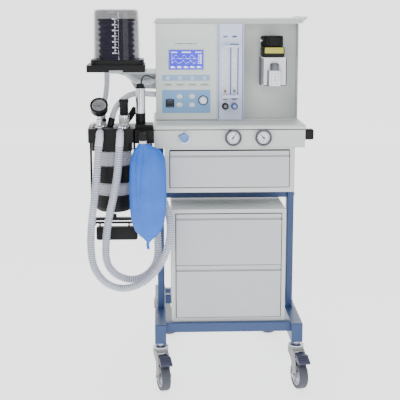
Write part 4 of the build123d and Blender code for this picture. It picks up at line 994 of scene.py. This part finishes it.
# each ring's height, half width and half depth
BAG_RINGS = ((548, 5, 4.5), (560, 16, 9), (571, 30, 14), (590, 46, 22), (620, 55, 28), (657, 60, 31),
             (714, 62.5, 33), (789, 62, 33), (826, 60, 31), (845, 56, 27), (864, 46, 21), (879, 26, 15),
             (888, 14, 13))
bag_rubber, bag_shader = finish_of("blue bag rubber", "#165EC4", Roughness=0.42, Subsurface_Weight=0.12,
                                   Subsurface_Scale=0.006)
bag_place = add_node(bag_rubber, "ShaderNodeTexCoord")
clouds(bag_rubber, bag_shader, bag_place, 50, 3.0, linear("#0F55BC"), linear("#2470D6"))
grain(bag_rubber, bag_shader, bag_place, 1.5, 2.0, 0.12, 0.2)


def bag_size(z):
    """The bag's half width and half depth at a height, and its middle's x, in mm."""
    for (z0, w0, d0), (z1, w1, d1) in zip(BAG_RINGS, BAG_RINGS[1:]):
        if z <= z1:
            share = min(1, max(0, (z - z0) / (z1 - z0)))
            share = share * share * (3 - 2 * share) * 0.5 + share * 0.5
            middle = -281 - 16 * max(0, (z - 850) / 38) ** 2
            return w0 + (w1 - w0) * share, d0 + (d1 - d0) * share, middle
    return 14, 13, -297


skin = bmesh.new()
rings = []
SIDES, LEVELS = 128, 110
for i in range(LEVELS + 1):
    z = BAG_LOW + (BAG_HIGH - BAG_LOW) * i / LEVELS
    wide, deep, middle = bag_size(z)
    # folds are deepest near the neck and the tail and fade over the belly
    gather = max(0.0, 1 - (z - BAG_LOW) / 95) ** 1.3 + max(0.0, 1 - (BAG_HIGH - z) / 130) ** 1.1
    slack = 0.35 + 0.65 * min(1, gather)
    rope = min(1, (z - BAG_LOW) / 14, (BAG_HIGH - z) / 16)
    ring = []
    for k in range(SIDES):
        a = 2 * math.pi * k / SIDES
        drift = 0.5 * math.sin((z - BAG_LOW) / 70)
        fold = (0.5 * math.sin(7 * a + drift + 0.9 * math.sin(z / 60)) + 0.3 * math.sin(13 * a - 1.3 * drift)
                + 0.22 * math.sin(4 * a + z / 45))
        push = 1 - 0.1 * slack * max(0, rope) * (0.5 - 0.5 * fold)
        # three long creases down the front, as a slack bag hangs
        for crease, sharpness, depth in ((3.93 + 0.1 * drift, 0.07, 0.1), (4.24 - 0.25 * drift, 0.09, 0.075),
                                         (5.0 + 0.12 * drift, 0.12, 0.05)):
            push -= depth * max(0, rope) * math.exp(-((a - crease) / sharpness) ** 2)
        seam = 1.6 * max(0, rope) * math.exp(-((math.sin(a)) / 0.05) ** 2)
        ring.append(skin.verts.new(at(middle + (wide * push + seam) * math.cos(a),
                                      BAG_Y + deep * push * math.sin(a), z)))
    rings.append(ring)
for lower, upper in zip(rings, rings[1:]):
    for k in range(SIDES):
        n = (k + 1) % SIDES
        skin.faces.new((lower[k], lower[n], upper[n], upper[k]))
skin.faces.new(list(reversed(rings[0])))
skin.faces.new(rings[-1])
bag_mesh = bpy.data.meshes.new("bag_skin")
skin.to_mesh(bag_mesh)
skin.free()
bag = piece("bag_skin", bag_mesh, bag_rubber, "machine", "bag_rubber", "reservoir_bag", sharp=0)
tail = [at(-281 - 2.5 * math.sin(t * math.pi), -62, 554 - 30 * t) for t in (0, 0.2, 0.4, 0.6, 0.8, 1)]
piece("bag_tail", tube_mesh("bag_tail", tail, lambda d: 0.0062 - 0.0012 * min(1, d / 0.03), 20), bag_rubber,
      "machine", "bag_rubber")

# ---------------------------------------------------------------- link hoses
# A grey ribbed hose from the bellows down to the absorber, white ribbed ones from the tower to
# the absorber and to the bellows' arm, and a thin black signal line, all with plain ends.
link_white = soft_polymer("white ribbed hose", "#DDE0E8", 0.4, 0.15)
link_grey = soft_polymer("grey gas hose", "#B6B9C4", 0.4, 0.1)
line_black = moulded("black signal tube", "#202228", 0.4)
LINKS = {
    "bellows_hose": (((-421, 111, 1112), (-421, 111, 1070), (-429, 108, 1022), (-436, 103, 985),
                      (-437, 102, 954)), 9.5, 1.1, link_grey),
    "fresh_hose": (((-258, 176, 1031), (-286, 160, 1034), (-315, 133, 1040), (-348, 110, 1034),
                    (-376, 91, 1014), (-396, 75, 989), (-404, 67, 958)), 10, 1.2, link_white),
    "drive_hose": (((-258, 205, 1078), (-284, 204, 1070), (-312, 201, 1072), (-338, 198, 1084),
                    (-358, 196, 1105)), 9.5, 1.1, link_white),
    "signal_line": (((-302, 70, 1080), (-300, 78, 1096), (-289, 100, 1104), (-273, 130, 1099),
                     (-257, 158, 1087)), 2.5, 0, line_black),
}
LINK_PITCH, LINK_END = 4.4, 14.0


def link_rib(distance, whole, outer, deep):
    """The radius of a link hose: round corrugations between plain ends."""
    if min(distance, whole - distance) < LINK_END * MM or not deep:
        return outer * MM
    return (outer - deep * (0.5 + 0.5 * math.cos(2 * math.pi * distance / MM / LINK_PITCH))) * MM


for link_name, (route, radius, rib_deep, link_finish) in LINKS.items():
    line, link_length = even_steps(centreline(link_name + "_line", [at(*p) for p in route]), 0.001)
    piece(link_name, tube_mesh(link_name, line, lambda d: link_rib(d, link_length, radius, rib_deep), 24),
          link_finish, "machine", "hose_plastic", "link_hoses", sharp=0)

# ---------------------------------------------------------------- rear fittings
# The gas inlets and the scavenging cone in chrome, and a black mains inlet with its pins.
dress(chrome, "rear_fittings", rounding=0.5)
piece("mains_shell", slab("mains_shell", (-176.3, 431.9, 989.7), (-125.7, 436, 1022.3), 1.5), black_plastic,
      "machine", "black_plastic")
pins = [slab("pin", (x - 1, 437, z - 2.5), (x + 1, 447, z + 2.5), 0.3, 1)
        for x, z in ((-158, 1004), (-144, 1004), (-151, 1009))]
piece("mains_pins", joined("mains_pins", pins), chrome, "machine", "gauge")

# ---------------------------------------------------------------- floor and light
# A pale floor that curves up into a wall far behind, a broad soft lamp above and one on each
# side, and a tall narrow one in front that draws the bright line down the dome and the pole.
floor_shape = bmesh.new()
cove = [(-12, 0), (7, 0)] + [(7 + 3 * math.sin(t), 3 - 3 * math.cos(t))
                             for t in (math.pi / 16 * k for k in range(1, 9))] + [(10, 12)]
across = [[floor_shape.verts.new((x, y, z)) for y, z in cove] for x in (-14, 14)]
for k in range(len(cove) - 1):
    floor_shape.faces.new((across[0][k], across[1][k], across[1][k + 1], across[0][k + 1]))
floor_mesh = bpy.data.meshes.new("floor")
floor_shape.to_mesh(floor_mesh)
floor_shape.free()
floor_mesh.shade_smooth()
floor = bpy.data.objects.new("floor", floor_mesh)
floor_paint, floor_shader = finish_of("plain pale floor", "#F3F4F6", Roughness=0.9)
floor_shader.inputs["Emission Color"].default_value = linear("#FFFFFF")
floor_shader.inputs["Emission Strength"].default_value = 1.6
floor_mesh.materials.append(floor_paint)
bpy.context.collection.objects.link(floor)
for lamp_name, place, size, power in (("key", (-1.6, -3.0, 3.2), (2.4, 2.4), 62),
                                      ("fill", (2.6, -2.6, 1.9), (2, 2), 24),
                                      ("top", (0.0, 0.4, 3.6), (2.4, 2.4), 40),
                                      ("strip", (0.45, -3.6, 1.7), (0.22, 2.6), 26)):
    light = bpy.data.lights.new(lamp_name, "AREA")
    light.shape, light.size, light.size_y, light.energy = "RECTANGLE", size[0], size[1], power
    lamp = bpy.data.objects.new(lamp_name, light)
    lamp.location = place
    lamp.rotation_euler = (Vector((0, 0, 0.8)) - Vector(place)).to_track_quat("-Z", "Y").to_euler()
    bpy.context.collection.objects.link(lamp)
world = bpy.data.worlds.new("studio")
world.use_nodes = True
world.node_tree.nodes["Background"].inputs["Color"].default_value = (1, 1, 1, 1)
world.node_tree.nodes["Background"].inputs["Strength"].default_value = 0.35
bpy.context.scene.world = world
